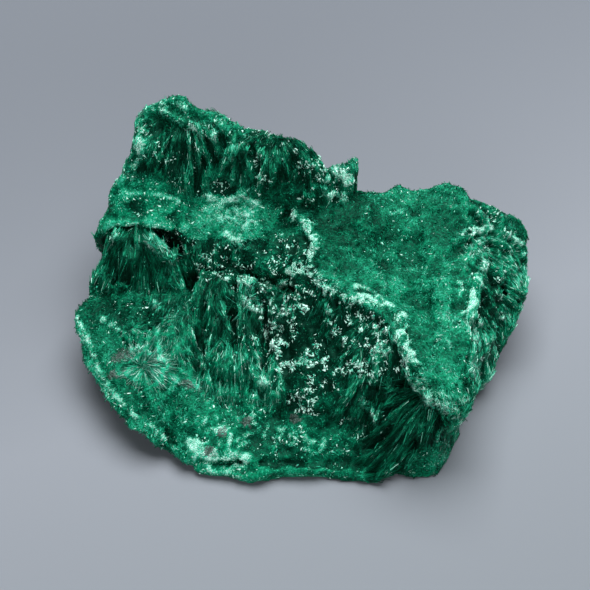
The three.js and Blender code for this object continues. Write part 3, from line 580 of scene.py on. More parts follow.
@dataclass(frozen=True)
class Growth:
    """The sprays, bruises, folds, patches and rock crumbs, read at points in millimetres."""

    sprays: tuple[Spray, ...] = SPRAYS
    bruises: tuple[Bruise, ...] = BRUISES
    folds: tuple[Fold, ...] = FOLDS
    patches: tuple[Patch, ...] = PATCHES
    rocks: tuple[Rock, ...] = ROCKS
    raggedness: float = 0.16  # how far the borders between sprays wander, in spray sizes
    level: tuple[float, float] = (0.78, 0.92)  # a face's upward slope where steep turns to level
    aversion: float = 0.9  # how far a spray keeps off faces that it doesn't show on, in spray sizes
    spread: float = 3.0  # mm, the least reach over which flutes fan out from a growth point
    spray_shift: float = 3.7  # lumps of noise from one spray's flutes to the next one's
    wander: float = 0.65  # how far the edge of a bruise wanders, in its widths
    lace: tuple[float, float] = (0.34, 0.22)  # how wide the threads of the lace are, and their soft edge
    blots: tuple[float, float] = (0.0, 0.4)  # noise from the edge of a crushed spot to its middle
    solid: float = 1.4  # how nearly the lace fills a bruise
    veil: float = 0.04  # how much of a bruise lies between the lace
    proud: tuple[float, float] = (-0.1, 0.25)  # mm of relief over which needles get more exposed
    sheltered: float = 0.7  # how much a bruise whitens a hollow
    exposed: float = 0.5  # how much more it whitens what stands proud
    lone: float = 0.03  # how thickly grains lie outside the clumps
    clumps: tuple[float, float] = (0.0, 0.38)  # noise from the edge of a clump to its middle
    regions: tuple[float, float] = (-0.5, 0.15)  # noise from where clumps are few to where they are many
    rock_rim: float = 0.5  # how far the rim of a spot of rock wanders, in its radii
    rock_edge: tuple[float, float] = (1.1, 0.7)  # radii from a spot's middle between which it fades in
    cloudiness: tuple[float, float] = (0.07, 0.09)  # tone of the clouds and of the wisps
    fibre_streaks_and_groove_shade: tuple[float, float] = (0.08, 0.11)  # tone of the bundles and of the threads: fibre streaks along the needles, paler on the ribs of the flutes and darker in their grooves, where the dark is painted shade
    painted_shade_and_light_per_mm: float = 0.4  # painted shade and light: tone for each millimetre of relief, darker in hollows and paler on ribs
    painted_shade_and_light_range: tuple[float, float] = (-0.34, 0.14)  # the darkest painted shade in a hollow and the palest painted light on a rib

    def owner(self, points: np.ndarray, lie: np.ndarray) -> np.ndarray:
        """The index of the spray that each point belongs to, given the face's even normal there."""
        level = ramp(lie[:, 2], *self.level)
        unlike = {STEEP: self.aversion * level, LEVEL: self.aversion * (1 - level), Facing.ANY: 0}
        reach = np.stack(
            [
                np.linalg.norm(points - np.array(s.centre), axis=1) / s.size
                + self.raggedness * border.at(points)
                + unlike[s.facing]
                for s, border in zip(self.sprays, BORDERS, strict=True)
            ]
        )
        return reach.argmin(axis=0)

    def direction(self, points: np.ndarray, owner: np.ndarray) -> np.ndarray:
        """The way each point's needles grow."""
        return unit(points - self.of(owner, "root"))

    def flutes(self, points: np.ndarray, owner: np.ndarray) -> tuple[np.ndarray, np.ndarray]:
        """The ribs that bundles and threads of needles make along their growth.

        Args:
            points: in millimetres.
            owner: each point's spray.

        Returns:
            The ribs of the bundles and of the threads, each from about -1 to 1.
        """
        away = np.linalg.norm(self.of(owner, "root") - self.of(owner, "centre"), axis=1)
        fibre = self.direction(points, owner) * np.maximum(away, self.spread)[:, None]
        shift = owner[:, None] * self.spray_shift
        return 1 - 2 * np.abs(BUNDLES.at(fibre, shift)), THREADS.at(fibre, shift)

    def of(self, owner: np.ndarray, what: str) -> np.ndarray:
        """One number or place of each point's spray."""
        return np.array([getattr(s, what) for s in self.sprays])[owner]

    def has(self, owner: np.ndarray, habit: Habit) -> np.ndarray:
        """Whether each point's spray has that habit."""
        return np.array([s.habit is habit for s in self.sprays])[owner]

    def bruising(self, points: np.ndarray, relief: np.ndarray) -> np.ndarray:
        """How far the needles at each point are crushed to powder, from 0 to 1.

        Args:
            points: in millimetres.
            relief: how far each point stands out of its surroundings, in millimetres.

        Returns:
            The crushing at each point, lacy and broken along each bruise.
        """
        lace = ramp(self.lace[0] - np.abs(LACE.at(points)), 0, self.lace[1])
        blots = ramp(BLOTS.at(points), *self.blots)
        total = np.zeros(len(points))
        wander = self.wander * WANDER.at(points)
        for b in self.bruises:
            near = np.exp(-(((distance_to_path(points, b.path) + wander * b.width) / b.width) ** 4))
            total = np.maximum(total, b.strength * near)
        total *= np.maximum(lace, blots) * self.solid + self.veil
        return np.clip(total * (self.sheltered + self.exposed * ramp(relief, *self.proud)), 0, 1)

    def folding(self, points: np.ndarray) -> np.ndarray:
        """How far the ribs and clefts lift each point, in millimetres."""
        total = np.zeros(len(points))
        for f in self.folds:
            total += f.height * np.exp(-((distance_to_path(points, f.path) / f.width) ** 2))
        return total

    def speckling(self, points: np.ndarray, owner: np.ndarray) -> np.ndarray:
        """How thickly crushed grains are scattered at each point, from 0 to 1."""
        clumps = ramp(CLUMPS.at(points), *self.clumps)
        regions = ramp(REGIONS.at(points), *self.regions)
        return self.of(owner, "speckle") * (self.lone + (1 - self.lone) * clumps * regions)

    def rockiness(self, points: np.ndarray) -> np.ndarray:
        """How thickly crumbs of the host rock lie at each point, from 0 to 1."""
        ragged = self.rock_rim * RAGGED.at(points)
        near = [np.linalg.norm(points - np.array(r.centre), axis=1) / r.radius for r in self.rocks]
        bare, full = self.rock_edge
        return ramp(-(np.min(near, axis=0) + ragged), -bare, -full)

    def tone(self, points: np.ndarray, owner: np.ndarray, relief: np.ndarray) -> np.ndarray:
        """How bright the mineral is at each point, with painted shade in its hollows and painted light on its
        ribs.

        Args:
            points: in millimetres.
            owner: each point's spray.
            relief: how far each point stands out of its surroundings, in millimetres.

        Returns:
            A tone from 0 to 1 for each point.
        """
        clouds = self.cloudiness[0] * CLOUDS.at(points) + self.cloudiness[1] * WISPS.at(points)
        bundles, threads = self.flutes(points, owner)
        # fibre streaks along the needles of a fan, with painted shade in the grooves that the same flutes cut
        # in the mass
        fibre_streaks_and_groove_shade = self.has(owner, FAN) * (self.fibre_streaks_and_groove_shade[0] * bundles + self.fibre_streaks_and_groove_shade[1] * threads)
        soft = sum(
            p.lift * np.exp(-(((points - np.array(p.centre)) ** 2).sum(axis=1)) / p.radius**2)
            for p in self.patches
        )
        # painted shade in the hollows and painted light on the ribs, by relief
        hollow = np.clip(relief * self.painted_shade_and_light_per_mm, *self.painted_shade_and_light_range)
        return self.of(owner, TONE) + clouds + fibre_streaks_and_groove_shade + soft + hollow


# ---------------------------------------------------------------------------------------------
# Materials
# ---------------------------------------------------------------------------------------------


def linear(colour: str) -> tuple[float, float, float, float]:
    """A hex sRGB colour as linear red, green, blue and alpha."""
    parts = [int(colour[i : i + 2], 16) / 255 for i in (1, 3, 5)]
    r, g, b = (p / 12.92 if p <= 0.04045 else ((p + 0.055) / 1.055) ** 2.4 for p in parts)
    return r, g, b, 1.0


def add_node(
    tree: bpy.types.NodeTree, kind: str, settings: dict | None = None, links: dict | None = None
) -> bpy.types.Node:
    """Adds a node to a material.

    Args:
        tree: the material's nodes.
        kind: the node's type name.
        settings: property names or input names to their values.
        links: input names to the output sockets that feed them.

    Returns:
        The new node.
    """
    node = tree.nodes.new(kind)
    for name, value in (settings or {}).items():
        if isinstance(name, str) and hasattr(node, name):
            setattr(node, name, value)
        else:
            node.inputs[name].default_value = value
    for name, socket in (links or {}).items():
        tree.links.new(socket, node.inputs[name])
    return node


Stops = tuple[tuple[float, str], ...]  # places from 0 to 1, each with a hex colour

# Malachite from its darkest unbroken needles to the pale powder of crushed ones.
MALACHITE_TONES: Stops = (
    (0.0, "#00140b"),
    (0.2, "#003a28"),
    (0.4, "#04714f"),
    (0.6, "#35a689"),
    (0.8, "#abdacb"),
    (1.0, "#dcfff4"),
)
MALACHITE_IOR = 1.8  # malachite is 1.65 to 1.91
SHEEN_TINT = "#4fd4ac"  # light that leaves the mass has passed from needle to needle, and is green


@dataclass(frozen=True)
class Finish:
    """What every finish has: its name and the numbers that are the same all over the surface.

    Args:
        name: the real material and how its surface was made.
        roughness: from 0, polished, to 1, matt.
        gloss: the strength of its reflections, where 0.5 leaves them as the ior gives them.
        ior: index of refraction.
        tint: hex colour of the reflections.
    """

    name: str
    roughness: float
    gloss: float
    ior: float = 1.5
    tint: str = "#ffffff"

    def start(self) -> bpy.types.Material:
        """A new material with those numbers on the shader's own sockets."""
        material = bpy.data.materials.new(self.name)
        material.use_nodes = True
        inputs = material.node_tree.nodes["Principled BSDF"].inputs
        inputs["Roughness"].default_value = self.roughness
        inputs["Specular IOR Level"].default_value = self.gloss
        inputs["IOR"].default_value = self.ior
        inputs["Specular Tint"].default_value = linear(self.tint)
        return material

    def colour(self, tree: bpy.types.NodeTree, place: bpy.types.NodeSocket, stops: Stops) -> None:
        """Colours the surface by a place from 0 to 1 between the stops."""
        node = add_node(tree, "ShaderNodeValToRGB", links={"Fac": place})
        elements = node.color_ramp.elements
        while len(elements) < len(stops):
            elements.new(0.5)
        for element, (at, colour) in zip(elements, stops, strict=True):
            element.position = at
            element.color = linear(colour)
        tree.links.new(node.outputs["Color"], tree.nodes["Principled BSDF"].inputs["Base Color"])


def needle_place(tree: bpy.types.NodeTree) -> bpy.types.bpy_prop_collection:
    """The outputs that hold a needle's tone, as X, and the place along it, as Y, from its UV map."""
    place = add_node(tree, "ShaderNodeUVMap", {"uv_map": UV_NAME})
    return add_node(tree, "ShaderNodeSeparateXYZ", links={"Vector": place.outputs["UV"]}).outputs


def varied(
    tree: bpy.types.NodeTree, tone: bpy.types.NodeSocket, by: bpy.types.NodeSocket, gain: float, shift: float
) -> bpy.types.NodeSocket:
    """A tone with another value, times a gain and plus a shift, added to it."""
    change = add_node(tree, "ShaderNodeMath", {"operation": "MULTIPLY_ADD", 1: gain, 2: shift}, {0: by})
    return add_node(tree, "ShaderNodeMath", {"operation": "ADD"}, {0: tone, 1: change.outputs[0]}).outputs[0]


@dataclass(frozen=True)
class NeedleMalachite(Finish):
    """Malachite grown as needles: silky and glassy along each needle, dark between them, with painted shade
    at each root and a painted highlight at each free end.
    """

    name: str = "malachite_needles_as_grown"
    roughness: float = 0.42
    gloss: float = 0.17
    ior: float = MALACHITE_IOR
    tint: str = SHEEN_TINT
    painted_tip_highlight: float = 0.12  # painted highlight: how much paler the free end of a needle is than its root
    root: float = -0.05  # painted shade: how much darker the root is than the needle's tone

    def make(self) -> bpy.types.Material:
        """The material. It reads tone across and the place along the needle up the piece's UV map."""
        material = self.start()
        tree = material.node_tree
        parts = needle_place(tree)
        self.colour(tree, varied(tree, parts["X"], parts["Y"], self.painted_tip_highlight, self.root), MALACHITE_TONES)
        return material


@dataclass(frozen=True)
class BrokenMalachite(Finish):
    """Malachite broken across its needles: a dark, finely granular face between the needles."""

    name: str = "malachite_broken_face"
    roughness: float = 0.55
    gloss: float = 0.12
    ior: float = MALACHITE_IOR
    tint: str = SHEEN_TINT
    grain: float = 0.35  # mm across a broken needle end, drawn coarser than it is so that it shows
    contrast: float = 0.7  # tone from the darkest grain to the palest
    darker: float = -0.45  # tone of the darkest grain against the mass's own

    def make(self) -> bpy.types.Material:
        """The material. It reads the piece's tone attribute and breaks it up into grains."""
        material = self.start()
        tree = material.node_tree
        tone = add_node(tree, "ShaderNodeAttribute", {"attribute_name": TONE})
        place = add_node(tree, "ShaderNodeTexCoord")
        grains = add_node(
            tree,
            "ShaderNodeTexNoise",
            {"Scale": 1 / (self.grain * MM), "Detail": 2.0, "Roughness": 0.6},
            {"Vector": place.outputs["Object"]},
        )
        mixed = varied(tree, tone.outputs["Fac"], grains.outputs["Fac"], self.contrast, self.darker)
        self.colour(tree, mixed, MALACHITE_TONES)
        return material


@dataclass(frozen=True)
class HostRock(Finish):
    """Crumbs of weathered host rock: dull, dark green-grey, and dusted with malachite."""

    name: str = "host_rock_weathered_crumbs"
    roughness: float = 0.85
    gloss: float = 0.2
    stops: Stops = ((0.1, "#17302a"), (0.8, "#5c756c"))

    def make(self) -> bpy.types.Material:
        """The material. It reads tone across the piece's UV map."""
        material = self.start()
        tree = material.node_tree
        self.colour(tree, needle_place(tree)["X"], self.stops)
        return material


@dataclass(frozen=True)
class PaperFloor(Finish):
    """Matt grey backdrop paper, which takes soft shadows and gives back almost no shine. Its colour holds
    painted shade: palest in the middle, a little darker at the front and darkest at the back.
    """

    name: str = "backdrop_paper_matt_painted_shade"
    roughness: float = 0.95
    gloss: float = 0.1
    # painted shade: the colour at the front, in the palest middle and at the darkest back
    stops: Stops = ((0.0, "#71777d"), (0.45, "#787d84"), (1.0, "#656a71"))
    painted_shade_sweep: tuple[float, float] = (-0.09, 0.09)  # metres from front to back over which the painted shade runs between the end colours
    turn: float = -22.0  # degrees by which its painted shade is turned about the upright

    def make(self) -> bpy.types.Material:
        """The material: painted shade, palest in the middle, a little darker at the front and darker towards
        the back, where less light falls.
        """
        material = self.start()
        tree = material.node_tree
        place = add_node(tree, "ShaderNodeTexCoord")
        turned = add_node(
            tree,
            "ShaderNodeMapping",
            {"Rotation": (0, 0, math.radians(self.turn))},
            {"Vector": place.outputs["Object"]},
        )
        parts = add_node(tree, "ShaderNodeSeparateXYZ", links={"Vector": turned.outputs["Vector"]})
        share = add_node(
            tree,
            "ShaderNodeMapRange",
            {"From Min": self.painted_shade_sweep[0], "From Max": self.painted_shade_sweep[1], "interpolation_type": "SMOOTHSTEP"},
            {"Value": parts.outputs["Y"]},
        )
        self.colour(tree, share.outputs["Result"], self.stops)
        return material


# ---------------------------------------------------------------------------------------------
# The mass
# ---------------------------------------------------------------------------------------------


def select_only(piece: bpy.types.Object) -> None:
    """Makes one object the only selected and active one."""
    bpy.ops.object.select_all(action="DESELECT")
    piece.select_set(True)
    bpy.context.view_layer.objects.active = piece


@dataclass
class Surface:
    """What the needle crops read of the mass: its triangles and what holds at each corner.

    Args:
        points: the corners, in millimetres.
        normals: of the rough surface.
        lie: normals of the face that the roughness stands on.
        triangles: three corners each.
        relief: how far each corner stands out of its surroundings, in millimetres.
        owner: each corner's spray.
    """

    points: np.ndarray
    normals: np.ndarray
    lie: np.ndarray
    triangles: np.ndarray
    relief: np.ndarray
    owner: np.ndarray
    tree: kdtree.KDTree = field(init=False)

    def __post_init__(self) -> None:
        """Sorts the corners for finding the nearest."""
        self.tree = kdtree.KDTree(len(self.points))
        for i, point in enumerate(self.points):
            self.tree.insert(point, i)
        self.tree.balance()

    def areas(self) -> np.ndarray:
        """The area of each triangle, in square millimetres."""
        a, b, c = (self.points[self.triangles[:, i]] for i in range(3))
        return np.linalg.norm(np.cross(b - a, c - a), axis=1) / 2

    def nearest(self, points: np.ndarray) -> np.ndarray:
        """The index of the corner nearest to each point."""
        return np.array([self.tree.find(point)[1] for point in points])


def evened(values: np.ndarray, edges: np.ndarray, rounds: int) -> np.ndarray:
    """Values at the corners of a mesh, each averaged with its neighbours again and again."""
    count = np.bincount(edges.ravel(), minlength=len(values))[:, None]
    for _ in range(rounds):
        total = np.stack(
            [
                np.bincount(edges[:, 0], values[edges[:, 1], k], len(values))
                + np.bincount(edges[:, 1], values[edges[:, 0], k], len(values))
                for k in range(values.shape[1])
            ],
            axis=1,
        )
        values = 0.5 * values + 0.5 * total / np.maximum(count, 1)
    return values


@dataclass(frozen=True)
class Relief:
    """How rough a fracture face is under the needles of one habit, in millimetres.

    Args:
        lump: height of the coarse lumps.
        groove: depth of the grooves between bundles of needles.
        grain: height of the finest lumps.
    """

    lump: float
    groove: float
    grain: float


RELIEF: dict[Habit, Relief] = {
    FAN: Relief(lump=0.22, groove=0.62, grain=0.12),
    FELT: Relief(lump=0.32, groove=0.05, grain=0.2),
    CRUST: Relief(lump=0.5, groove=0.05, grain=0.34),
}


@dataclass
class Mass:
    """The body of the specimen under its needles."""

    growth: Growth
    voxel: float = 0.42  # mm
    weld: float = 1e-6  # metres
    relax_rounds: int = 5
    relax: float = 0.5
    relief_rounds: int = 26
    lie_rounds: int = 40
    knobs: float = 0.5  # height of the knobs against the lumps that they sit on
    end_grain: float = 0.3  # how deep the grooves are where the needles end in the face
    ribs: tuple[float, float] = (0.7, 0.4)  # share of the bundles and of the threads in the grooves
    sunk: float = 0.2  # how far down the grooves lie on the whole
    crust: float = 0.3  # mm, how far crushed powder stands proud
    crust_relief: float = 0.2  # mm, the relief that the crust is worked out for
    seat: tuple[float, float] = (0.15, 1.6)  # mm above the floor where the roughness starts and is full
    darker: float = -0.14  # tone of the mass against the needles on it
    whitening: float = 0.3  # tone that a full bruise adds
    piece: bpy.types.Object = field(init=False)

    def copy_of_node(self, node: bpy.types.Object) -> bpy.types.Object:
        """A welded, finely meshed copy of the CAD node, with its facets rounded off."""
        piece = bpy.data.objects.new("malachite_mass", node.data.copy())
        bpy.context.scene.collection.objects.link(piece)
        select_only(piece)
        bpy.ops.object.mode_set(mode="EDIT")
        bpy.ops.mesh.select_all(action="SELECT")
        bpy.ops.mesh.remove_doubles(threshold=self.weld)
        bpy.ops.object.mode_set(mode="OBJECT")
        fine = piece.modifiers.new("fine", "REMESH")
        fine.mode = "VOXEL"
        fine.voxel_size = self.voxel * MM
        bpy.ops.object.modifier_apply(modifier=fine.name)
        worn = piece.modifiers.new("worn", "SMOOTH")
        worn.iterations = self.relax_rounds
        worn.factor = self.relax
        bpy.ops.object.modifier_apply(modifier=worn.name)
        return piece

    def roughen(self, points: np.ndarray, lie: np.ndarray, owner: np.ndarray) -> np.ndarray:
        """How far each point moves out of the face, in millimetres."""
        fibre = self.growth.direction(points, owner)
        bundles, threads = self.growth.flutes(points, owner)
        lumps = LUMPS.at(points) + self.knobs * KNOBS.at(points)
        grains = GRIT.at(points)
        # grooves are deep where the needles lie along the face, and shallow where they end in it
        along = self.end_grain + 1 - np.abs((fibre * lie).sum(axis=1))
        grooves = self.ribs[0] * bundles + self.ribs[1] * threads - self.sunk
        height = np.zeros(len(points))
        for habit, relief in RELIEF.items():
            own = relief.lump * lumps + relief.grain * grains
            own += relief.groove * along * grooves
            height += self.growth.has(owner, habit) * own
        height += self.crust * self.growth.bruising(points, np.full(len(points), self.crust_relief))
        height += self.growth.folding(points)
        return height * ramp(points[:, 2], *self.seat)

    def build(self, node: bpy.types.Object) -> Surface:
        """Builds the mass and puts its finish on.

        Args:
            node: the CAD node that it copies and stands for.

        Returns:
            What the needle crops read of its surface.
        """
        self.piece = self.copy_of_node(node)
        mesh = self.piece.data
        edges = read(mesh.edges, "vertices", 2)
        points = read(mesh.vertices, "co") / MM
        normals = read(mesh.vertex_normals, "vector")
        lie = unit(evened(normals, edges, self.lie_rounds))
        owner = self.growth.owner(points, lie)
        points = points + normals * self.roughen(points, lie, owner)[:, None]
        points[:, 2] = np.maximum(points[:, 2], 0)
        mesh.vertices.foreach_set("co", (points * MM).astype(np.float32).ravel())
        mesh.update()
        normals = read(mesh.vertex_normals, "vector")
        relief = ((points - evened(points, edges, self.relief_rounds)) * normals).sum(axis=1)
        bruise = self.growth.bruising(points, relief)
        # growth.tone brings in painted shade in the hollows and grooves and painted light on the ribs
        tone = self.growth.tone(points, owner, relief) + self.darker + self.whitening * bruise
        attribute = mesh.attributes.new(TONE, "FLOAT", "POINT")
        attribute.data.foreach_set("value", np.clip(tone, 0, 1).astype(np.float32))
        mesh.materials.clear()
        mesh.materials.append(BrokenMalachite().make())
        select_only(self.piece)
        bpy.ops.object.shade_smooth()
        mesh.calc_loop_triangles()
        triangles = read(mesh.loop_triangles, "vertices", 3)
        return Surface(points, normals, lie, triangles, relief, owner)


# ---------------------------------------------------------------------------------------------
# Needles
# ---------------------------------------------------------------------------------------------


FRONT_SLOPE, FRONT_BIAS = 0.75, 0.1  # weigh a face's slope up and to the front
FRONT_RANGE = (-0.9, 0.3)  # that weight from the far side to the near side
FAR_SHARE = 0.2  # how thickly the far side is covered against the near side
FOOT_RANGE = (0.2, 0.9)  # mm above the floor over which the needles set in
UNDERSIDE = -0.9  # a face that slopes down more than this is bare
CLUSTERING = 1.5  # how sharply crushed needles and grains keep to their places
GLINT_TONE = (0.12, 0.42)  # how much brighter a needle is that catches the light
DARKENING = -0.03  # tone of the mean needle against the mineral round it
END_ON = 0.2  # needles that meet the face more steeply than this lean every way
BRUISE_TANGLE, BRUISE_WIDTH, BRUISE_LENGTH = 3, 0.3, 0.6  # how far crushing tangles, widens and shortens
WHITENING = 0.7  # the lower it is, the sooner a bruised needle turns pale
TONE_RANGE = (0.01, 0.99)  # keeps a needle inside its UV map
LEAST_RISE = 0.05  # mm by which every free end stands off the face
ROOT_DEPTH = 0.06  # mm by which every root is sunk
OFF_FLOOR = 0.04  # mm above the floor below which no needle reaches
CRUSHED_TONE, CRUSHED_SPREAD = 0.62, 0.36  # tone of the darkest crushed needle, and from there up
UV_WIDTH = 0.004  # a needle's width in its UV map
UV_MARGIN = 0.02  # above and below a needle in its UV map


@dataclass(frozen=True)
class Sliver:
    """One needle crystal, modelled once: a blunt splinter with an edge at each end.

    Args:
        corners: of a splinter one unit long up +Z and one unit wide.
        faces: its four triangles.
    """

    corners: np.ndarray
    faces: np.ndarray

    @classmethod
    def model(cls, drawn_up: float = 0.92) -> Sliver:
        """Models the splinter from a three-sided cone.

        Args:
            drawn_up: how far up to the tip one corner of the base is drawn.

        Returns:
            The splinter's corners and triangles.
        """
        bpy.ops.object.select_all(action="DESELECT")
        bpy.ops.mesh.primitive_cone_add(vertices=3, radius1=0.5, radius2=0, depth=1, location=(0, 0, 0.5))
        cone = bpy.context.object
        mesh = cone.data
        bpy.ops.object.mode_set(mode="EDIT")
        bpy.ops.mesh.select_all(action="DESELECT")
        bpy.ops.object.mode_set(mode="OBJECT")
        base = [v for v in mesh.vertices if v.co.z < 0.5]
        drawn = max(base, key=lambda v: v.co.y)
        drawn.select = True
        bpy.ops.object.mode_set(mode="EDIT")
        bpy.ops.transform.translate(value=(0, 0, drawn_up))
        bpy.ops.mesh.select_all(action="SELECT")
        bpy.ops.mesh.quads_convert_to_tris()
        bpy.ops.mesh.normals_make_consistent(inside=False)
        bpy.ops.object.mode_set(mode="OBJECT")
        mesh.calc_loop_triangles()
        corners = read(mesh.vertices, "co").astype(float)
        faces = read(mesh.loop_triangles, "vertices", 3)
        bpy.data.objects.remove(cone)
        bpy.data.meshes.remove(mesh)
        return cls(corners, faces)


@dataclass(frozen=True)
class Crop:
    """One piece of needles, all closed slivers of one mesh.

    Args:
        name: the piece's name.
        count: how many needles.
        habits: the habits of the sprays that it covers.
        seed: for its random numbers.
        length: length of a needle against its spray's own, or of a grain against its width.
        width: of a needle, lowest and highest, in millimetres.
        rise: how far the free end of a needle stands off the face at most, in millimetres.
        tangle: how far each needle strays from its neighbours.
        fade: how much the tone varies from needle to needle.
        glint: the share of needles that catch the light.
        cover: which places it covers.
        few_wide: the higher it is, the fewer of them are wide.
        bridge: how far the middle of a whole needle may stand off the face, in millimetres.
        miss: how far beside a needle's free end the face may be, in millimetres.
    """

    name: str
    count: int
    habits: tuple[Habit, ...]
    seed: int
    length: tuple[float, float]
    width: tuple[float, float]
    rise: float
    tangle: float
    fade: float
    glint: float
    cover: Cover = Cover.WHOLE
    few_wide: float = 1.0
    bridge: float = 0.25
    miss: float = 0.28

    def weights(self, growth: Growth, surface: Surface) -> np.ndarray:
        """How many needles each triangle gets against the others."""
        centres = surface.points[surface.triangles].mean(axis=1)
        lie = surface.lie[surface.triangles[:, 0]]
        owner = surface.owner[surface.triangles[:, 0]]
        wanted = np.any([growth.has(owner, habit) for habit in self.habits], axis=0)
        # the top and front are covered in full, and the far sides thinly
        front = FRONT_SLOPE * lie[:, 2] - FRONT_SLOPE * lie[:, 1] + FRONT_BIAS
        seen = ramp(front, *FRONT_RANGE) * (1 - FAR_SHARE) + FAR_SHARE
        off_floor = ramp(centres[:, 2], *FOOT_RANGE) * (lie[:, 2] > UNDERSIDE)
        weight = surface.areas() * seen * off_floor * wanted
        if self.cover is BRUISED:
            relief = surface.relief[surface.triangles].mean(axis=1)
            weight = weight * growth.bruising(centres, relief) ** CLUSTERING
        if self.cover is SPECKLED:
            weight = weight * growth.speckling(centres, owner) ** CLUSTERING
        if self.cover is ROCKY:
            weight = weight * growth.rockiness(centres)
        return weight

    def shades(self, rng: np.random.Generator) -> np.ndarray:
        """How much each needle is brighter or darker than the mineral round it: a few catch the light."""
        bright = (rng.random(self.count) < self.glint) * rng.uniform(*GLINT_TONE, self.count)
        return rng.normal(DARKENING, self.fade, self.count) + bright

    def laid(self, surface: Surface, at: np.ndarray, step: np.ndarray, rise: np.ndarray) -> np.ndarray:
        """Where the free ends come to lie.

        Args:
            surface: the mass that they lie on.
            at: where the needles are rooted.
            step: from there to the free end, along the face at the root.
            rise: how far the free end stands off the face.

        Returns:
            The free ends: straight on if the face goes on there, or else on the nearest bit of face.
        """
        end = surface.nearest(at + step)
        lie = surface.lie[end]
        miss = surface.points[end] - at - step
        height = (miss * lie).sum(axis=1, keepdims=True)
        beside = np.linalg.norm(miss - height * lie, axis=1, keepdims=True) > self.miss
        return np.where(beside, surface.points[end], at + step + height * lie) + lie * rise[:, None]

    def build(
        self, growth: Growth, surface: Surface, sliver: Sliver, finish: bpy.types.Material
    ) -> bpy.types.Object:
        """Grows the needles and joins them in one piece.

        Args:
            growth: which way they run.
            surface: the mass that they lie on.
            sliver: the one needle that all are copies of.
            finish: their material.

        Returns:
            The piece.
        """
        rng = np.random.default_rng(self.seed)
        weight = self.weights(growth, surface)
        chosen = rng.choice(len(weight), self.count, p=weight / weight.sum())
        share = rng.dirichlet((1, 1, 1), self.count)
        corners = surface.triangles[chosen]
        at = (surface.points[corners] * share[:, :, None]).sum(axis=1)
        normal = unit((surface.normals[corners] * share[:, :, None]).sum(axis=1))
        relief = (surface.relief[corners] * share).sum(axis=1)
        owner = surface.owner[corners[:, 0]]
        bruise = growth.bruising(at, relief)
        fibre = growth.direction(at, owner)
        flat = fibre - (fibre * normal).sum(axis=1, keepdims=True) * normal
        steep = np.linalg.norm(flat, axis=1, keepdims=True)
        stray = rng.normal(size=(self.count, 3))
        stray -= (stray * normal).sum(axis=1, keepdims=True) * normal
        tangle = self.tangle * (1 + BRUISE_TANGLE * bruise[:, None]) * rng.random((self.count, 1))
        lean = unit(flat / np.maximum(steep, END_ON) + tangle * unit(stray))
        narrow, wide = self.width
        spare = (wide - narrow) * rng.random(self.count) ** self.few_wide
        width = narrow + spare * (1 + BRUISE_WIDTH * bruise)
        whole = width if self.cover in (SPECKLED, ROCKY) else growth.of(owner, "length")
        length = whole * rng.uniform(*self.length, self.count) * (1 - BRUISE_LENGTH * bruise)
        # a needle lies on the face from end to end, and only its free end may stand off
        rise = LEAST_RISE + self.rise * rng.random(self.count) ** 2
        start = at - normal * ROOT_DEPTH
        tip, half = (self.laid(surface, at, lean * (length * share)[:, None], rise) for share in (1.0, 0.5))
        middle = (start + tip) / 2
        under = surface.nearest(middle)
        gap = ((middle - surface.points[under]) * surface.normals[under]).sum(axis=1)
        tip = np.where((gap > self.bridge)[:, None], half, tip)
        direction = tip - start
        length = np.linalg.norm(direction, axis=1)
        direction = unit(direction)
        # growth.tone brings in painted shade in the hollows and grooves and painted light on the ribs
        tone = growth.tone(at, owner, relief) + self.shades(rng)
        crushed = CRUSHED_TONE + CRUSHED_SPREAD * rng.random(self.count)
        pale = np.ones(self.count) if self.cover is SPECKLED else bruise**WHITENING
        tone = tone * (1 - pale) + crushed * pale
        side = unit(np.cross(direction, rng.normal(size=(self.count, 3))))
        other = np.cross(direction, side)
        shape = sliver.corners
        points = (
            start[:, None, :]
            + shape[None, :, 0, None] * width[:, None, None] * side[:, None, :]
            + shape[None, :, 1, None] * width[:, None, None] * other[:, None, :]
            + shape[None, :, 2, None] * length[:, None, None] * direction[:, None, :]
        )
        points[..., 2] = np.maximum(points[..., 2], OFF_FLOOR)
        return self.join(points, sliver, np.clip(tone, *TONE_RANGE), finish)

    def join(
        self, points: np.ndarray, sliver: Sliver, tone: np.ndarray, finish: bpy.types.Material
    ) -> bpy.types.Object:
        """Joins many slivers in one object.

        Args:
            points: the corners of each needle in turn.
            sliver: the one needle that all are copies of.
            tone: of each needle.
            finish: their material.

        Returns:
            The piece, with tone across its UV map and length up it.
        """
        count, per = points.shape[:2]
        faces = (sliver.faces[None] + np.arange(count)[:, None, None] * per).reshape(-1, 3)
        mesh = bpy.data.meshes.new(self.name)
        mesh.vertices.add(count * per)
        mesh.vertices.foreach_set("co", (points * MM).astype(np.float32).ravel())
        mesh.loops.add(faces.size)
        mesh.loops.foreach_set("vertex_index", faces.astype(np.int32).ravel())
        mesh.polygons.add(len(faces))
        mesh.polygons.foreach_set("loop_start", np.arange(0, faces.size, 3, dtype=np.int32))
        mesh.update(calc_edges=True)
        up = sliver.corners[sliver.faces.ravel(), 2]
        # tone is the same all over a needle, but no triangle of a UV map may be flat
        across = sliver.corners[sliver.faces.ravel(), :2].sum(axis=1) * UV_WIDTH
        along = np.broadcast_to(UV_MARGIN + (1 - 2 * UV_MARGIN) * up, (count, len(up)))
        uv = np.stack([tone[:, None] + across[None], along], axis=-1)
        layer = mesh.uv_layers.new(name=UV_NAME)
        layer.data.foreach_set("uv", uv.astype(np.float32).ravel())
        mesh.materials.append(finish)
        piece = bpy.data.objects.new(self.name, mesh)
        bpy.context.scene.collection.objects.link(piece)
        return piece


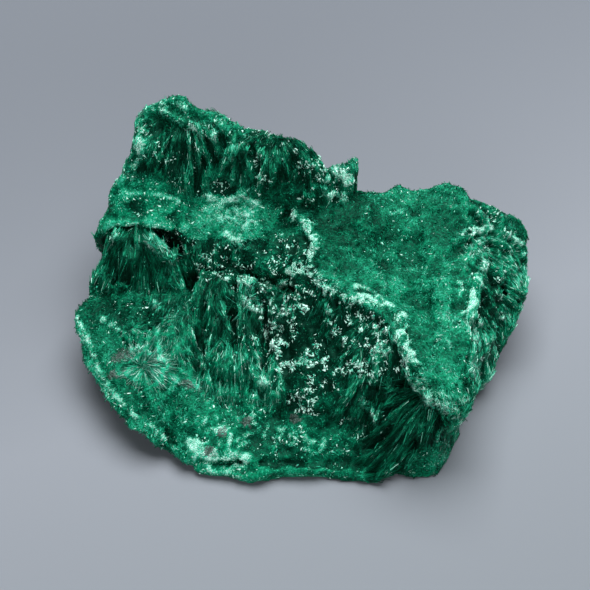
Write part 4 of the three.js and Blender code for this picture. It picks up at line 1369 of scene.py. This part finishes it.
CROPS: tuple[Crop, ...] = (
    Crop("malachite_fans", 48000, (FAN,), 11, (0.4, 1.1), (0.07, 0.16), 0.08, 0.08, 0.1, 0.09),
    Crop("malachite_fans_short", 36000, (FAN,), 16, (0.2, 0.55), (0.09, 0.21), 0.15, 0.2, 0.1, 0.1),
    Crop("malachite_felt", 44000, (FELT,), 12, (0.7, 1.7), (0.12, 0.24), 0.12, 3.0, 0.08, 0.01),
    Crop("malachite_crust", 34000, (CRUST, FELT), 13, (0.5, 0.9), (0.16, 0.36), 0.25, 2.0, 0.1, 0.03),
    Crop("malachite_bruised", 24000, ALL, 14, (0.3, 0.7), (0.16, 0.36), 0.3, 1.4, 0.08, 0.1, BRUISED),
    Crop("malachite_grains", 11000, ALL, 15, (0.7, 1.2), (0.2, 0.75), 0.25, 3.0, 0.08, 0.1, SPECKLED, 3.0),
    Crop("host_rock_crumbs", 2000, ALL, 17, (0.7, 1.3), (0.2, 0.55), 0.2, 3.0, 0.2, 0.0, ROCKY),
)


# ---------------------------------------------------------------------------------------------
# Studio
# ---------------------------------------------------------------------------------------------


@dataclass
class Studio:
    """Floor, lights and camera."""

    target: Point = (-1.2, -0.08, 12.0)  # mm, what the camera looks at
    distance: float = 330.0  # mm
    elevation: float = 50.0  # degrees
    lens: float = 120.8
    near_clip: float = 0.01  # metres
    floor_size: float = 6.0  # metres
    floor_height: float = -0.0002  # metres, just clear of the specimen's underside
    walls: str = "#e6ebf2"
    wall_light: float = 0.10

    def floor(self) -> None:
        """The paper that the specimen lies on."""
        bpy.ops.object.select_all(action="DESELECT")
        bpy.ops.mesh.primitive_plane_add(size=self.floor_size, location=(0, 0, self.floor_height))
        sheet = bpy.context.object
        sheet.name = "studio_floor"
        sheet.data.materials.append(PaperFloor().make())

    def light(self, name: str, place: Point, size: float, power: float) -> None:
        """A square softbox aimed at the specimen.

        Args:
            name: of the light.
            place: in metres.
            size: of its side, in metres.
            power: in watts.
        """
        data = bpy.data.lights.new(name, "AREA")
        data.size = size
        data.energy = power
        lamp = bpy.data.objects.new(name, data)
        bpy.context.scene.collection.objects.link(lamp)
        lamp.location = place
        aim = np.array(self.target) * MM - np.array(place)
        tilt = math.atan2(math.hypot(aim[0], aim[1]), -aim[2])
        lamp.rotation_euler = (tilt, 0, math.atan2(-aim[0], aim[1]))

    def sky(self) -> None:
        """Even light from all round, as white studio walls give."""
        world = bpy.data.worlds.new("studio")
        bpy.context.scene.world = world
        world.use_nodes = True
        background = world.node_tree.nodes["Background"]
        background.inputs["Color"].default_value = linear(self.walls)
        background.inputs["Strength"].default_value = self.wall_light

    def camera(self) -> None:
        """The camera, level, in front of the specimen and above it."""
        data = bpy.data.cameras.new("camera")
        data.lens = self.lens
        data.clip_start = self.near_clip
        camera = bpy.data.objects.new("camera", data)
        bpy.context.scene.collection.objects.link(camera)
        up = math.radians(self.elevation)
        x, y, z = self.target
        back, above = self.distance * math.cos(up), self.distance * math.sin(up)
        camera.location = (x * MM, (y - back) * MM, (z + above) * MM)
        camera.rotation_euler = (math.pi / 2 - up, 0, 0)
        bpy.context.scene.camera = camera

    def build(self) -> None:
        """Sets up everything around the specimen."""
        self.floor()
        self.light("key", (0.08, 0.21, 0.66), 0.64, 12.1)
        self.light("fill", (-0.05, -0.66, 0.20), 0.60, 3.3)
        self.sky()
        self.camera()
        bpy.context.scene.view_settings.view_transform = "Standard"


def report(piece: bpy.types.Object) -> None:
    """Says in the log how many triangles a piece has."""
    piece.data.calc_loop_triangles()
    LOG.info("%s: %d triangles", piece.name, len(piece.data.loop_triangles))


def claim(piece: bpy.types.Object) -> None:
    """Makes a piece ride on the row's one body and stand for the CAD node."""
    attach(piece, BODY)
    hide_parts(CAD_NODE)
    report(piece)


def main() -> None:
    """Builds the specimen and its studio."""
    logging.basicConfig(level=logging.INFO, format="%(name)s: %(message)s")
    for thing in list(bpy.data.objects):
        bpy.data.objects.remove(thing)
    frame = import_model()
    growth = Growth()
    mass = Mass(growth)
    surface = mass.build(frame["nodes"][CAD_NODE])
    claim(mass.piece)
    sliver = Sliver.model()
    malachite, rock = NeedleMalachite().make(), HostRock().make()
    for crop in CROPS:
        claim(crop.build(growth, surface, sliver, rock if crop.cover is ROCKY else malachite))
    Studio().build()


if __name__ == "__main__":
    main()
